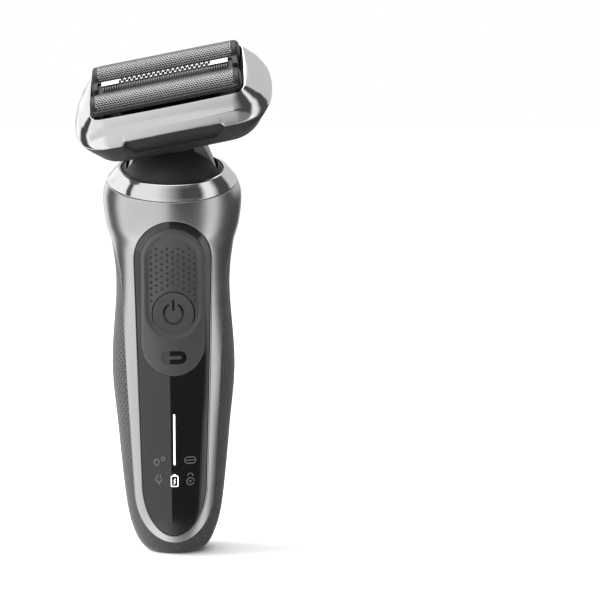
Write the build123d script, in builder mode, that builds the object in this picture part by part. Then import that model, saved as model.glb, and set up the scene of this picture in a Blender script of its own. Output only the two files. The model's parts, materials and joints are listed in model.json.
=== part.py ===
from build123d import *

import os
from math import cos, radians, sin

# Foil shaver standing on its tail. Millimetres, +Z up, the front faces -Y. The origin is the middle
# of the charging socket's mouth, in the flat tail.
os.makedirs("parts", exist_ok=True)

# ---------------------------------------------------------------- driving dimensions
WALL = 2.0  # handle shells
GAP = 0.1  # between pieces that only sit beside each other
RUNNING = 0.05  # radial clearance round pins that turn
REACH = 40.0  # longer than the handle is deep

NECK_LEAN = 18.0  # the neck ring leans forward from level
SEAM = -4.3  # the chrome ring meets the shells there, along the neck's axis
NECK_HOLE = (16.0, 14.5)  # half axes of the opening in the ring

FLEX_HEIGHT = 22.2  # the two tilt axes cross this far above the neck ring
FLEX_DROP = 6.4  # and this far below the rim of the head
PITCH_AT_REST = 15.0  # forward, from the neck's axis
ROLL_AT_REST = 13.3  # right-hand end up

MOTOR_Y = 0.65
MOTOR_RADIUS = 8.8
MOTOR_FOOT, MOTOR_TOP = 78.0, 102.0
SHAFT_RADIUS = 1.0
ECCENTRICITY = 0.3
LEVER_PIVOT = -5.5  # along the neck's axis
BALL_RADIUS = 1.6
TILT_PIN_RADIUS = 1.1

PANEL_TOP_CENTRE, PANEL_HALF_TOP, PANEL_HALF_FOOT = 93.9, 12.1, 10.2
PANEL_FOOT, PANEL_FOOT_CENTRE = 6.3, 23.3
PAD_CENTRE, PAD_HALF_WIDTH, PAD_LENGTH = 80.8, 9.85, 46.0
DISH_CENTRE, DISH_HALF_WIDTH, DISH_LENGTH, DISH_DEPTH = 85.8, 8.65, 33.4, 0.6
POWER_Z, POWER_RADIUS = 77.0, 6.9
LOCK_Z, LOCK_LENGTH, LOCK_WIDTH = 63.6, 8.6, 4.7
LIGHT_FOOT, LIGHT_TOP, LIGHT_HALF_WIDTH = 29.2, 46.1, 0.5

SOCKET_HALF_WIDTH, SOCKET_HALF_DEPTH, SOCKET_TOP = 6.2, 3.9, 11.0
PLUG_HALF_WIDTH, PLUG_HALF_DEPTH, PLUG_TOP = 4.7, 2.45, 9.5

BEZEL_OPENING = (23.75, 13.5)  # half length and half depth
PARTING = -8.7  # silver bezel above, dark base below
HEAD_BOTTOM = -16.2
FOIL_PITCH = 7.8  # from the head's centre to each foil's
FOIL_HALF_LENGTH, FOIL_HALF_WIDTH, FOIL_HEIGHT = 21.2, 4.0, 3.0
FOIL_BASE = 1.0
FOIL_SKIN = 0.2
STROKE = 1.26  # of the cutters, each way
WELL_HALF_LENGTH, WELL_HALF_DEPTH = 13.5, 7.0  # the opening that the yoke reaches into


def leaning(y, z, lean):
    """A level plane at (y, z), leaned forward by that many degrees."""
    tilt = radians(lean)
    return Plane(origin=(0, y, z), x_dir=(1, 0, 0), z_dir=(0, -sin(tilt), cos(tilt)))


NECK = leaning(-3.0, 122.0, NECK_LEAN)
NECK_PLACE = NECK.location
GIMBAL_PLACE = NECK_PLACE * Location((0, 0, FLEX_HEIGHT), (PITCH_AT_REST, 0, 0))
HEAD_PLACE = GIMBAL_PLACE * Location((0, 0, 0), (0, -ROLL_AT_REST, 0)) * Location((0, 0, FLEX_DROP))

# The handle from the tail to the rim of the neck ring: y, z and lean of a section's plane, then its
# half width and half depth. The last rows stand along the neck's axis.
def neck_row(height, half_width, half_depth):
    foot = NECK.offset(height).origin
    return (foot.Y, foot.Z, NECK_LEAN, half_width, half_depth)


KEY_SECTIONS = [
    (0.0, 0.0, 0.0, 8.5, 6.8),
    (0.1, 2.2, 0.0, 10.9, 8.7),
    (0.3, 6.0, 0.0, 12.9, 10.4),
    (0.5, 12.0, 0.0, 14.7, 11.9),
    (0.8, 22.0, 0.0, 16.1, 13.3),
    (1.2, 40.0, 0.0, 17.8, 14.8),
    (1.4, 60.0, 0.0, 19.45, 15.6),
    (1.0, 84.0, 2.0, 17.95, 14.6),
    (0.6, 97.0, 8.0, 18.9, 15.9),
    (0.1, 105.5, 14.0, 20.9, 18.3),
    neck_row(-9.0, 21.6, 20.0),
    neck_row(SEAM, 20.3, 19.2),
    neck_row(-1.8, 18.8, 17.7),
    neck_row(-0.4, 17.2, 16.0),
    neck_row(0.0, 16.5, 15.1),
]
SEAM_KEY = 11
STEPS = 3  # sections from one key section to the next


def between(keys, index, part_way):
    """A point on the smooth curve through the key sections, part of the way past one of them."""
    before, start, end, after = (keys[min(max(index + step, 0), len(keys) - 1)] for step in (-1, 0, 1, 2))
    point = []
    for a, b, c, d in zip(before, start, end, after):
        bend = 2 * a - 5 * b + 4 * c - d
        twist = 3 * (b - c) + d - a
        point.append(b + 0.5 * part_way * (c - a + part_way * (bend + part_way * twist)))
    return point


def sections(first, last):
    """Planes and half axes of the handle's sections between two key sections."""
    rows = [between(KEY_SECTIONS, step // STEPS, step % STEPS / STEPS) for step in range(first * STEPS, last * STEPS)]
    rows.append(KEY_SECTIONS[last])
    return [(leaning(y, z, lean), half_width, half_depth) for y, z, lean, half_width, half_depth in rows]


# ---------------------------------------------------------------- helpers
def save(piece, name, place=Location()):
    """Labels a finished piece, moves it from its own frame to where it lies, and writes it."""
    placed = piece.part.moved(place)
    placed.label = name
    export_step(placed, f"parts/{name}.step")


def handle_form(inset, first=0, last=len(KEY_SECTIONS) - 1):
    """The handle's form, drawn in by inset, between two of its key sections."""
    with BuildPart() as form:
        for plane, half_width, half_depth in sections(first, last):
            with BuildSketch(plane):
                Ellipse(half_width - inset, half_depth - inset)
        loft(ruled=True)
    return form.part


def draw_shield(half_top, half_foot, top, foot, foot_centre, grow=0.0):
    """Draws a shield: straight sides, a flat top and an elliptic foot."""
    left, right = -half_foot - grow, half_foot + grow
    with BuildLine() as outline:
        EllipticalCenterArc((0, foot_centre), right, foot_centre - foot + grow, 180, arc_size=180)
        Polyline((right, foot_centre), (half_top + grow, top), (-half_top - grow, top), (left, foot_centre))
    make_face(outline.edges())


def draw_panel(grow):
    """Draws the glossy panel: a shield with a half-round top."""
    draw_shield(PANEL_HALF_TOP, PANEL_HALF_FOOT, PANEL_TOP_CENTRE, PANEL_FOOT, PANEL_FOOT_CENTRE, grow)
    with Locations((0, PANEL_TOP_CENTRE)):
        Circle(PANEL_HALF_TOP + grow)


def draw_silver():
    """Draws the silver shell: a narrow band round the panel that spreads over the whole neck."""
    waist, shoulder, crown = (15.7, 74.0), (24.5, 107.0), (24.5, 140.0)
    draw_shield(waist[0], 12.9, waist[1], 4.0, 21.0)
    with BuildLine() as outline:
        Spline(waist, (16.4, 88.0), (19.0, 99.5), shoulder)
        Spline((-waist[0], waist[1]), (-16.4, 88.0), (-19.0, 99.5), (-shoulder[0], shoulder[1]))
        Polyline(shoulder, crown, (-crown[0], crown[1]), (-shoulder[0], shoulder[1]))
        Line((-waist[0], waist[1]), waist)
    make_face(outline.edges())


def draw_pill(centre, half_width, length, grow=0.0):
    """Draws an upright slot shape."""
    with Locations((0, centre)):
        SlotOverall(length + 2 * grow, 2 * (half_width + grow), rotation=90)


def draw_power_symbol():
    """Draws the broken ring and the bar of a generic power symbol."""
    with Locations((0, POWER_Z)):
        Circle(3.5)
        Circle(2.8, mode=Mode.SUBTRACT)
    with Locations((0, POWER_Z + 3.0)):
        Rectangle(2.6, 2.6, mode=Mode.SUBTRACT)
    with Locations((0, POWER_Z + 2.6)):
        SlotOverall(3.6, 0.7, rotation=90)


def draw_lock_mark():
    with Locations((0, LOCK_Z)):
        SlotOverall(LOCK_LENGTH, LOCK_WIDTH)
        SlotOverall(LOCK_LENGTH * 0.5, LOCK_WIDTH * 0.22, mode=Mode.SUBTRACT)


def draw_rim(half_length, half_depth, bulge, corner):
    """Draws a plan of the head: straight long sides, bowed ends and round corners."""
    square = half_length - bulge
    with BuildLine() as outline:
        Polyline((-square, -half_depth), (square, -half_depth))
        ThreePointArc((square, -half_depth), (half_length, 0), (square, half_depth))
        Polyline((square, half_depth), (-square, half_depth))
        ThreePointArc((-square, half_depth), (-half_length, 0), (-square, -half_depth))
    face = make_face(outline.edges())
    fillet(face.vertices(), corner)


def draw_arch(half_width, height, foot):
    """Draws half an ellipse on legs: a shaving element seen from its end."""
    with BuildLine() as outline:
        EllipticalCenterArc((0, FOIL_BASE), half_width, height, 0, arc_size=180)
        Polyline((-half_width, FOIL_BASE), (-half_width, foot), (half_width, foot), (half_width, FOIL_BASE))
    make_face(outline.edges())


# ---------------------------------------------------------------- handle shells
outer_form = handle_form(0)
inner_form = handle_form(WALL, 1, SEAM_KEY)
panel_back = handle_form(1.8)
panel_face = handle_form(0.25)

with BuildPart() as shell_body:
    add(outer_form)
    split(bisect_by=NECK.offset(SEAM), keep=Keep.BOTTOM)
    add(inner_form, mode=Mode.SUBTRACT)

with BuildPart() as front_shell:
    add(shell_body.part)
    with BuildSketch(Plane.XZ.offset(-WALL)):
        draw_silver()
    extrude(amount=REACH, mode=Mode.INTERSECT)
    with BuildSketch(Plane.XZ):
        draw_panel(GAP / 2)
    extrude(amount=REACH, mode=Mode.SUBTRACT)
save(front_shell, "front_shell")

with BuildPart() as back_shell:
    add(shell_body.part)
    with BuildSketch(Plane.XZ.offset(-WALL)):
        draw_silver()
    extrude(amount=REACH, mode=Mode.SUBTRACT)
    with BuildSketch():
        RectangleRounded(2 * SOCKET_HALF_WIDTH + GAP, 2 * SOCKET_HALF_DEPTH + GAP, 2.5)
    extrude(amount=SOCKET_TOP, mode=Mode.SUBTRACT)
save(back_shell, "back_shell")

with BuildPart() as neck_ring:
    add(outer_form)
    split(bisect_by=NECK.offset(SEAM), keep=Keep.TOP)
    with BuildSketch(NECK.offset(1)):
        Ellipse(*NECK_HOLE)
    extrude(amount=-20, mode=Mode.SUBTRACT)
save(neck_ring, "neck_ring")

with BuildPart() as neck_gasket:
    with BuildSketch():
        Ellipse(18.1, 17.0)
        Ellipse(16.7, 15.6, mode=Mode.SUBTRACT)
    extrude(amount=1.5)
save(neck_gasket, "neck_gasket", NECK_PLACE * Location((0, 0, SEAM - 1.6)))

# ---------------------------------------------------------------- front panel and buttons
with BuildPart() as front_panel:
    add(panel_face)
    add(panel_back, mode=Mode.SUBTRACT)
    with BuildSketch(Plane.XZ):
        draw_panel(-GAP / 2)
        draw_pill(PAD_CENTRE, PAD_HALF_WIDTH, PAD_LENGTH, GAP / 2)
        with Locations((0, (LIGHT_FOOT + LIGHT_TOP) / 2)):
            SlotOverall(LIGHT_TOP - LIGHT_FOOT, 2 * LIGHT_HALF_WIDTH, rotation=90, mode=Mode.SUBTRACT)
    extrude(amount=REACH, mode=Mode.INTERSECT)
    with BuildSketch(Plane.XZ):
        draw_pill(PAD_CENTRE, PAD_HALF_WIDTH, PAD_LENGTH, GAP / 2)
    extrude(amount=REACH, mode=Mode.SUBTRACT)
save(front_panel, "front_panel")

with BuildPart() as light_bar:
    add(panel_face)
    add(panel_back, mode=Mode.SUBTRACT)
    with BuildSketch(Plane.XZ):
        draw_pill((LIGHT_FOOT + LIGHT_TOP) / 2, LIGHT_HALF_WIDTH - 0.02, LIGHT_TOP - LIGHT_FOOT - 0.04)
    extrude(amount=REACH, mode=Mode.INTERSECT)
save(light_bar, "light_bar")

MARK_DEPTH = 12.3  # inlaid marks reach back to this far in front of the axis
with BuildPart() as pad_blank:
    add(handle_form(-0.2))
    add(panel_back, mode=Mode.SUBTRACT)
    with BuildSketch(Plane.XZ):
        draw_pill(PAD_CENTRE, PAD_HALF_WIDTH, PAD_LENGTH)
    extrude(amount=REACH, mode=Mode.INTERSECT)

with BuildPart() as pad_dish:
    add(handle_form(-1.0))
    add(handle_form(DISH_DEPTH), mode=Mode.SUBTRACT)
    with BuildSketch(Plane.XZ):
        draw_pill(DISH_CENTRE, DISH_HALF_WIDTH, DISH_LENGTH)
    extrude(amount=REACH, mode=Mode.INTERSECT)

with BuildPart() as button_pad:
    add(pad_blank.part)
    add(pad_dish.part, mode=Mode.SUBTRACT)
    with BuildSketch(Plane.XZ):
        with Locations((0, POWER_Z)):
            Circle(POWER_RADIUS + 0.15)
    extrude(amount=REACH, mode=Mode.SUBTRACT)
    with BuildSketch(Plane.XZ.offset(MARK_DEPTH + 1.2)):
        draw_lock_mark()
    extrude(amount=REACH, mode=Mode.SUBTRACT)
save(button_pad, "button_pad")

with BuildPart() as lock_mark:
    add(pad_blank.part)
    with BuildSketch(Plane.XZ.offset(MARK_DEPTH + 1.2)):
        draw_lock_mark()
    extrude(amount=REACH, mode=Mode.INTERSECT)
save(lock_mark, "lock_mark")

with BuildPart() as button_blank:
    add(pad_blank.part)
    add(pad_dish.part, mode=Mode.SUBTRACT)
    with BuildSketch(Plane.XZ):
        with Locations((0, POWER_Z)):
            Circle(POWER_RADIUS)
    extrude(amount=REACH, mode=Mode.INTERSECT)
    with BuildSketch(Plane.XZ.offset(11.7)):
        with Locations((0, POWER_Z)):
            Circle(1.5)
    extrude(amount=1.5)
    with Locations((0, -50.8, POWER_Z)):
        Sphere(38.0, mode=Mode.SUBTRACT)

with BuildPart() as power_button:
    add(button_blank.part)
    with BuildSketch(Plane.XZ.offset(MARK_DEPTH)):
        draw_power_symbol()
    extrude(amount=REACH, mode=Mode.SUBTRACT)
save(power_button, "power_button")

with BuildPart() as power_symbol:
    add(button_blank.part)
    with BuildSketch(Plane.XZ.offset(MARK_DEPTH)):
        draw_power_symbol()
    extrude(amount=REACH, mode=Mode.INTERSECT)
save(power_symbol, "power_symbol")

# ---------------------------------------------------------------- inside the handle
BATTERY_Y, BATTERY_RADIUS, BATTERY_FOOT, BATTERY_TOP = 2.2, 7.0, 20.0, 69.0
BOARD_BACK, BOARD_FRONT = -8.7, -9.5

with BuildPart() as inner_frame:
    with Locations((0, 10.2, 63.0)):
        Box(10, 1.2, 78)
    for shelf in (BATTERY_FOOT - 2.2, BATTERY_TOP + 1.0, MOTOR_FOOT - 2.0):
        with BuildSketch(Plane.XY.offset(shelf)):
            with Locations((0, 2.4)):
                RectangleRounded(12, 14.4, 3)
            with Locations((0, MOTOR_Y)):
                Circle(2.0, mode=Mode.SUBTRACT)
        extrude(amount=1.2)
    with Locations((0, 10.2, 20.8)):
        Box(6, 1.2, 8)
save(inner_frame, "inner_frame")

with BuildPart() as battery_cell:
    with BuildSketch(Plane.XY.offset(BATTERY_FOOT)):
        with Locations((0, BATTERY_Y)):
            Circle(BATTERY_RADIUS)
    extrude(amount=BATTERY_TOP - BATTERY_FOOT)
    chamfer(battery_cell.edges().filter_by(GeomType.CIRCLE), 0.6)
save(battery_cell, "battery_cell")

with BuildPart() as battery_tabs:
    for level in (BATTERY_FOOT - 0.5, BATTERY_TOP + 0.1):
        with Locations((0, BATTERY_Y - 2.0, level + 0.2)):
            Box(5, 9, 0.4)
save(battery_tabs, "battery_tabs")

with BuildPart() as circuit_board:
    with Locations((0, (BOARD_BACK + BOARD_FRONT) / 2, 58.0)):
        Box(11, BOARD_BACK - BOARD_FRONT, 64)
save(circuit_board, "circuit_board")

with BuildPart() as board_chips:
    for height, width, tall in ((32, 5, 6), (45, 7, 7), (58, 4, 5)):
        with Locations((0, BOARD_BACK + 0.55, height)):
            Box(width, 1.0, tall)
save(board_chips, "board_chips")

with BuildPart() as tact_switch:
    with Locations((0, BOARD_FRONT - 0.4, POWER_Z)):
        Box(5, 0.8, 5)
    with BuildSketch(Plane.XZ.offset(-BOARD_FRONT + 0.8)):
        with Locations((0, POWER_Z)):
            Circle(1.2)
    extrude(amount=0.4)
save(tact_switch, "tact_switch")

with BuildPart() as status_lights:
    for step in range(4):
        with Locations((0, BOARD_FRONT - 0.35, LIGHT_FOOT + 2.5 + step * 4.0)):
            Box(1.6, 0.7, 1.6)
save(status_lights, "status_lights")

with BuildPart() as motor_can:
    with BuildSketch(Plane.XY.offset(MOTOR_FOOT)):
        with Locations((0, MOTOR_Y)):
            Circle(MOTOR_RADIUS)
            Circle(SHAFT_RADIUS + RUNNING, mode=Mode.SUBTRACT)
    extrude(amount=MOTOR_TOP - MOTOR_FOOT)
save(motor_can, "motor_can")

with BuildPart() as motor_mount:
    with BuildSketch(Plane.XY.offset(MOTOR_TOP)):
        with Locations((0, MOTOR_Y)):
            Circle(11.5)
            Circle(2.55, mode=Mode.SUBTRACT)
            with GridLocations(12.0, 1, 2, 1):
                Circle(0.85, mode=Mode.SUBTRACT)
    extrude(amount=1.5)
save(motor_mount, "motor_mount")

with BuildPart() as motor_bush:
    with BuildSketch(Plane.XY.offset(MOTOR_TOP)):
        with Locations((0, MOTOR_Y)):
            Circle(2.5)
            Circle(SHAFT_RADIUS + RUNNING, mode=Mode.SUBTRACT)
    extrude(amount=2.6)
save(motor_bush, "motor_bush")

with BuildPart() as motor_screws:
    with BuildSketch(Plane.XY.offset(MOTOR_TOP + 1.5)):
        with Locations((0, MOTOR_Y)):
            with GridLocations(12.0, 1, 2, 1):
                Circle(1.5)
    extrude(amount=1.0)
    with BuildSketch(Plane.XY.offset(MOTOR_TOP + 1.5)):
        with Locations((0, MOTOR_Y)):
            with GridLocations(12.0, 1, 2, 1):
                Circle(0.8)
    extrude(amount=-1.5)
save(motor_screws, "motor_screws")

ECCENTRIC_FOOT = 105.4
with BuildPart() as motor_shaft:
    with BuildSketch(Plane.XY.offset(MOTOR_FOOT - 1.0)):
        with Locations((0, MOTOR_Y)):
            Circle(SHAFT_RADIUS)
    extrude(amount=ECCENTRIC_FOOT + 1.5 - MOTOR_FOOT + 1.0)
save(motor_shaft, "motor_shaft")

with BuildPart() as eccentric:
    with BuildSketch(Plane.XY.offset(ECCENTRIC_FOOT)):
        with Locations((0, MOTOR_Y)):
            Circle(3.4)
            Circle(SHAFT_RADIUS + 0.005, mode=Mode.SUBTRACT)
    extrude(amount=1.6)
    with BuildSketch(Plane.XY.offset(ECCENTRIC_FOOT + 1.6)):
        with Locations((0, MOTOR_Y)):
            Circle(3.4)
    extrude(amount=0.9)
    with BuildSketch(Plane.XY.offset(ECCENTRIC_FOOT + 2.5)):
        with Locations((ECCENTRICITY, MOTOR_Y)):
            Circle(1.0)
    extrude(amount=3.0)
save(eccentric, "eccentric")

# ---------------------------------------------------------------- charging socket
with BuildPart() as charging_socket:
    with BuildSketch():
        RectangleRounded(2 * SOCKET_HALF_WIDTH - GAP, 2 * SOCKET_HALF_DEPTH - GAP, 2.4)
    extrude(amount=SOCKET_TOP - GAP)
    with BuildSketch():
        RectangleRounded(2 * PLUG_HALF_WIDTH, 2 * PLUG_HALF_DEPTH, 1.5)
    extrude(amount=PLUG_TOP, mode=Mode.SUBTRACT)
    with BuildSketch(Plane.XY.offset(PLUG_TOP)):
        with GridLocations(4.4, 1, 2, 1):
            Circle(0.8)
    extrude(amount=5, mode=Mode.SUBTRACT)
save(charging_socket, "charging_socket")

with BuildPart() as contact_pins:
    with BuildSketch(Plane.XY.offset(PLUG_TOP - 4.5)):
        with GridLocations(4.4, 1, 2, 1):
            Circle(0.79)
    extrude(amount=8.0)
    fillet(contact_pins.edges().group_by(Axis.Z)[0], 0.4)
save(contact_pins, "contact_pins")

# ---------------------------------------------------------------- neck: yoke, dome and drive lever
LUG_FACE, LUG_BACK = 3.4, 5.6
ARM_HALF_DEPTH = 3.0
ARM_FEET = (7.6, 13.8)
with BuildPart() as yoke:
    with BuildSketch(Plane.XY.offset(SEAM)):
        Ellipse(NECK_HOLE[0] - GAP, NECK_HOLE[1] - GAP)
        Rectangle(6.4, 2 * LUG_FACE, mode=Mode.SUBTRACT)
    extrude(amount=1.6)
    for side in (-1, 1):
        with Locations((0, side * (LUG_FACE + LUG_BACK) / 2, LEVER_PIVOT + 0.3)):
            Box(5.0, LUG_BACK - LUG_FACE, 4.6)
    with BuildSketch(Plane.XZ.offset(-LUG_BACK - 1)):
        with Locations((0, LEVER_PIVOT)):
            Circle(1.01)
    extrude(amount=2 * LUG_BACK + 2, mode=Mode.SUBTRACT)
    with BuildSketch(Plane.XZ.offset(-ARM_HALF_DEPTH)):
        with BuildLine():
            Polyline((ARM_FEET[0], -3.5), (7.1, 4.0), (6.4, 9.0), (6.4, FLEX_HEIGHT))
            Polyline((6.4, FLEX_HEIGHT), (8.8, FLEX_HEIGHT), (8.8, 13.0), (10.6, 7.5), (13.2, 1.0))
            Polyline((13.2, 1.0), (ARM_FEET[1], -3.5), (ARM_FEET[0], -3.5))
        make_face()
        mirror(about=Plane.YZ)
    extrude(amount=2 * ARM_HALF_DEPTH)
    for side in (-1, 1):
        with BuildSketch(Plane.YZ.offset(side * 7.6 - 1.2)):
            with Locations((0, FLEX_HEIGHT)):
                Circle(2.2)
        extrude(amount=2.4)
        with BuildSketch(Plane.YZ.offset(side * 7.6 - 2.0)):
            with Locations((0, FLEX_HEIGHT + 4.0)):
                Rectangle(4 * ARM_HALF_DEPTH, 8.0)
            with Locations((0, FLEX_HEIGHT)):
                Circle(2.2, mode=Mode.SUBTRACT)
        extrude(amount=4.0, mode=Mode.SUBTRACT)
    with BuildSketch(Plane.YZ.offset(-12)):
        with Locations((0, FLEX_HEIGHT)):
            Circle(TILT_PIN_RADIUS + RUNNING)
    extrude(amount=24, mode=Mode.SUBTRACT)
save(yoke, "yoke", NECK_PLACE)

DOME_FOOT = -0.6  # where the dome starts to rise out of the neck ring
DOME_RINGS = [(DOME_FOOT, 15.2, 13.7), (2.4, 12.9, 11.1), (5.0, 9.6, 7.8), (6.8, 6.9, 5.2)]
ARM_SLOT_INNER, ARM_SLOT_OUTER = 6.5, 14.2  # the dome's slots for the yoke's arms, from its middle
SLOT_HEIGHT = 18.0  # cuts clean through the dome
with BuildPart() as neck_dome:
    with BuildSketch(Plane.XY.offset(SEAM + 1.65)):
        Ellipse(NECK_HOLE[0] - GAP, NECK_HOLE[1] - GAP)
    with BuildSketch(Plane.XY.offset(DOME_FOOT)):
        Ellipse(NECK_HOLE[0] - GAP, NECK_HOLE[1] - GAP)
    loft(ruled=True)
    for height, half_width, half_depth in DOME_RINGS:
        with BuildSketch(Plane.XY.offset(height)):
            Ellipse(half_width, half_depth)
    loft()
    for side in (-1, 1):
        with Locations((side * (ARM_SLOT_INNER + ARM_SLOT_OUTER) / 2, 0, 0)):
            Box(ARM_SLOT_OUTER - ARM_SLOT_INNER, 2 * ARM_HALF_DEPTH + 0.6, SLOT_HEIGHT, mode=Mode.SUBTRACT)
    Box(5.0, 3.8, SLOT_HEIGHT, mode=Mode.SUBTRACT)
save(neck_dome, "neck_dome", NECK_PLACE)

with BuildPart() as lever_pin:
    with BuildSketch(Plane.XZ.offset(-LUG_BACK)):
        with Locations((0, LEVER_PIVOT)):
            Circle(1.0)
    extrude(amount=2 * LUG_BACK)
save(lever_pin, "lever_pin", NECK_PLACE)

LEVER_FOOT = -13.5
with BuildPart() as drive_lever:
    with BuildSketch(Plane.XZ.offset(-3.1)):
        with Locations((0, LEVER_PIVOT)):
            Circle(2.3)
    extrude(amount=6.2)
    with Locations((0, 0, (LEVER_FOOT + LEVER_PIVOT) / 2)):
        Box(5.0, 4.2, LEVER_PIVOT - LEVER_FOOT)
    with BuildSketch(Plane.XY.offset(LEVER_PIVOT)):
        Circle(1.0)
    extrude(amount=FLEX_HEIGHT - LEVER_PIVOT)
    with Locations((0, 0, FLEX_HEIGHT)):
        Sphere(BALL_RADIUS)
    with Locations((0, 0, LEVER_FOOT)):
        Box(3.4, 8, 5.0, mode=Mode.SUBTRACT)
    with BuildSketch(Plane.XZ.offset(-4)):
        with Locations((0, LEVER_PIVOT)):
            Circle(1.0 + RUNNING)
    extrude(amount=8, mode=Mode.SUBTRACT)
save(drive_lever, "drive_lever", NECK_PLACE)

# ---------------------------------------------------------------- gimbal: pitches on the yoke
RING_HALF_LENGTH, RING_HALF_DEPTH, RING_HALF_HEIGHT = 6.1, 5.2, 1.8
with BuildPart() as gimbal:
    Box(2 * RING_HALF_LENGTH, 2 * RING_HALF_DEPTH, 2 * RING_HALF_HEIGHT)
    fillet(gimbal.edges().filter_by(Axis.Z), 1.0)
    Box(9.0, 6.6, 8, mode=Mode.SUBTRACT)
    for plane in (Plane.YZ.offset(-12), Plane.XZ.offset(-12)):
        with BuildSketch(plane):
            Circle(TILT_PIN_RADIUS + 0.005)
        extrude(amount=24, mode=Mode.SUBTRACT)
save(gimbal, "gimbal", GIMBAL_PLACE)


def pair_of_pins(plane_at, near, far):
    """Two pins in line, from near to far on both sides of the middle."""
    with BuildPart() as pins:
        for start in (near, -far):
            with BuildSketch(plane_at.offset(start)):
                Circle(TILT_PIN_RADIUS)
            extrude(amount=far - near)
    return pins


save(pair_of_pins(Plane.YZ, 4.7, 8.8), "pitch_pins", GIMBAL_PLACE)
save(pair_of_pins(Plane.XZ, 3.5, 10.2), "roll_pins", GIMBAL_PLACE)

# ---------------------------------------------------------------- head base: rolls on the gimbal
RELEASE_Z, RELEASE_HALF_LENGTH, RELEASE_HALF_HEIGHT = -12.4, 6.0, 1.8
BLOCK_HALF_LENGTH, BLOCK_HALF_DEPTH, BLOCK_TOP = 14.8, 10.4, -2.2


def base_form(inset, floor):
    """The dark base below the parting line, drawn in by inset, with its underside at floor."""
    with BuildPart() as form:
        with BuildSketch(Plane.XY.offset(HEAD_BOTTOM)):
            draw_rim(27.5 - inset, 14.6 - inset, 2.5, 6.5)
        with BuildSketch(Plane.XY.offset(-12.5)):
            draw_rim(29.6 - inset, 16.0 - inset, 2.8, 7.0)
        with BuildSketch(Plane.XY.offset(PARTING - GAP)):
            draw_rim(30.7 - inset, 16.9 - inset, 3.0, 7.5)
        loft(ruled=True)
        with BuildSketch(Plane.XZ.offset(-REACH / 2)):
            rise = PARTING + 1.0 - floor
            with BuildLine() as outline:
                EllipticalCenterArc((16, PARTING + 1.0), 15.2 - inset, rise, 270, arc_size=90)
                EllipticalCenterArc((-16, PARTING + 1.0), 15.2 - inset, rise, 180, arc_size=90)
                Line((-16, floor), (16, floor))
                Line((31.2 - inset, PARTING + 1.0), (-31.2 + inset, PARTING + 1.0))
            make_face(outline.edges())
        extrude(amount=REACH, mode=Mode.INTERSECT)
    return form.part


with BuildPart() as head_base:
    add(base_form(0, HEAD_BOTTOM))
    add(base_form(1.6, HEAD_BOTTOM + 1.6), mode=Mode.SUBTRACT)
    with BuildSketch(Plane.XY.offset(HEAD_BOTTOM)):
        RectangleRounded(2 * BLOCK_HALF_LENGTH, 2 * BLOCK_HALF_DEPTH, 2.5)
    extrude(amount=BLOCK_TOP - HEAD_BOTTOM)
    with BuildSketch(Plane.XY.offset(HEAD_BOTTOM - 1)):
        RectangleRounded(2 * WELL_HALF_LENGTH, 2 * WELL_HALF_DEPTH, 0.8)
    extrude(amount=REACH, mode=Mode.SUBTRACT)
    with BuildSketch(Plane.XZ.offset(-BLOCK_HALF_DEPTH - 1)):
        with Locations((0, -FLEX_DROP)):
            Circle(TILT_PIN_RADIUS + RUNNING)
    extrude(amount=2 * BLOCK_HALF_DEPTH + 2, mode=Mode.SUBTRACT)
    with BuildSketch(Plane.XZ.offset(-20)):
        with Locations((0, RELEASE_Z)):
            RectangleRounded(2 * RELEASE_HALF_LENGTH + 0.3, 2 * RELEASE_HALF_HEIGHT + 0.3, 1.3)
    extrude(amount=20 - BLOCK_HALF_DEPTH - 1, mode=Mode.SUBTRACT)
    with BuildSketch(Plane.XZ.offset(14.9)):
        with BuildLine():
            Polyline((-16, -9.2), (16, -9.2), (13.4, -12.8), (-13.4, -12.8), (-16, -9.2))
        make_face()
    extrude(amount=4, mode=Mode.SUBTRACT)
save(head_base, "head_base", HEAD_PLACE)

with BuildPart() as release_button:
    with BuildSketch(Plane.XZ.offset(-16.6)):
        with Locations((0, RELEASE_Z)):
            RectangleRounded(2 * RELEASE_HALF_LENGTH, 2 * RELEASE_HALF_HEIGHT, 1.2)
    extrude(amount=4.6)
    fillet(release_button.faces().sort_by(Axis.Y)[-1].edges(), 0.4)
save(release_button, "release_button", HEAD_PLACE)

# ---------------------------------------------------------------- cassette: lifts off the base
with BuildPart() as bezel:
    with BuildSketch(Plane.XY.offset(PARTING)):
        draw_rim(31.0, 17.1, 3.0, 8.0)
    with BuildSketch(Plane.XY.offset(-3.8)):
        draw_rim(28.4, 16.6, 2.4, 6.5)
    with BuildSketch():
        draw_rim(24.3, 13.9, 0.6, 3.8)
    loft(ruled=True)
    with BuildSketch(Plane.XY.offset(PARTING)):
        draw_rim(29.3, 15.5, 2.8, 7.0)
    with BuildSketch(Plane.XY.offset(-4.2)):
        draw_rim(26.6, 15.0, 2.2, 5.5)
    with BuildSketch(Plane.XY.offset(-1.4)):
        draw_rim(24.1, 13.6, 0.7, 4.2)
    loft(ruled=True, mode=Mode.SUBTRACT)
    with BuildSketch(Plane.XY.offset(1)):
        draw_rim(*BEZEL_OPENING, 0.3, 3.4)
    extrude(amount=-4, mode=Mode.SUBTRACT)
save(bezel, "bezel", HEAD_PLACE)

with BuildPart() as cassette_frame:
    with BuildSketch(Plane.XY.offset(-5.4)):
        RectangleRounded(49.6, 28.2, 5.5)
        RectangleRounded(41.0, 21.6, 3.0, mode=Mode.SUBTRACT)
    extrude(amount=2.2)
    for side in (-1, 1):
        with Locations((side * 22.6, 0, -5.9)):
            Box(2.4, 8, 3.0)
save(cassette_frame, "cassette_frame", HEAD_PLACE)

FRAME_HALF_LENGTH, FRAME_HALF_WIDTH = 23.2, 4.95
FRAME_FOOT, FRAME_TOP = 0.85, 1.7


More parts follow.
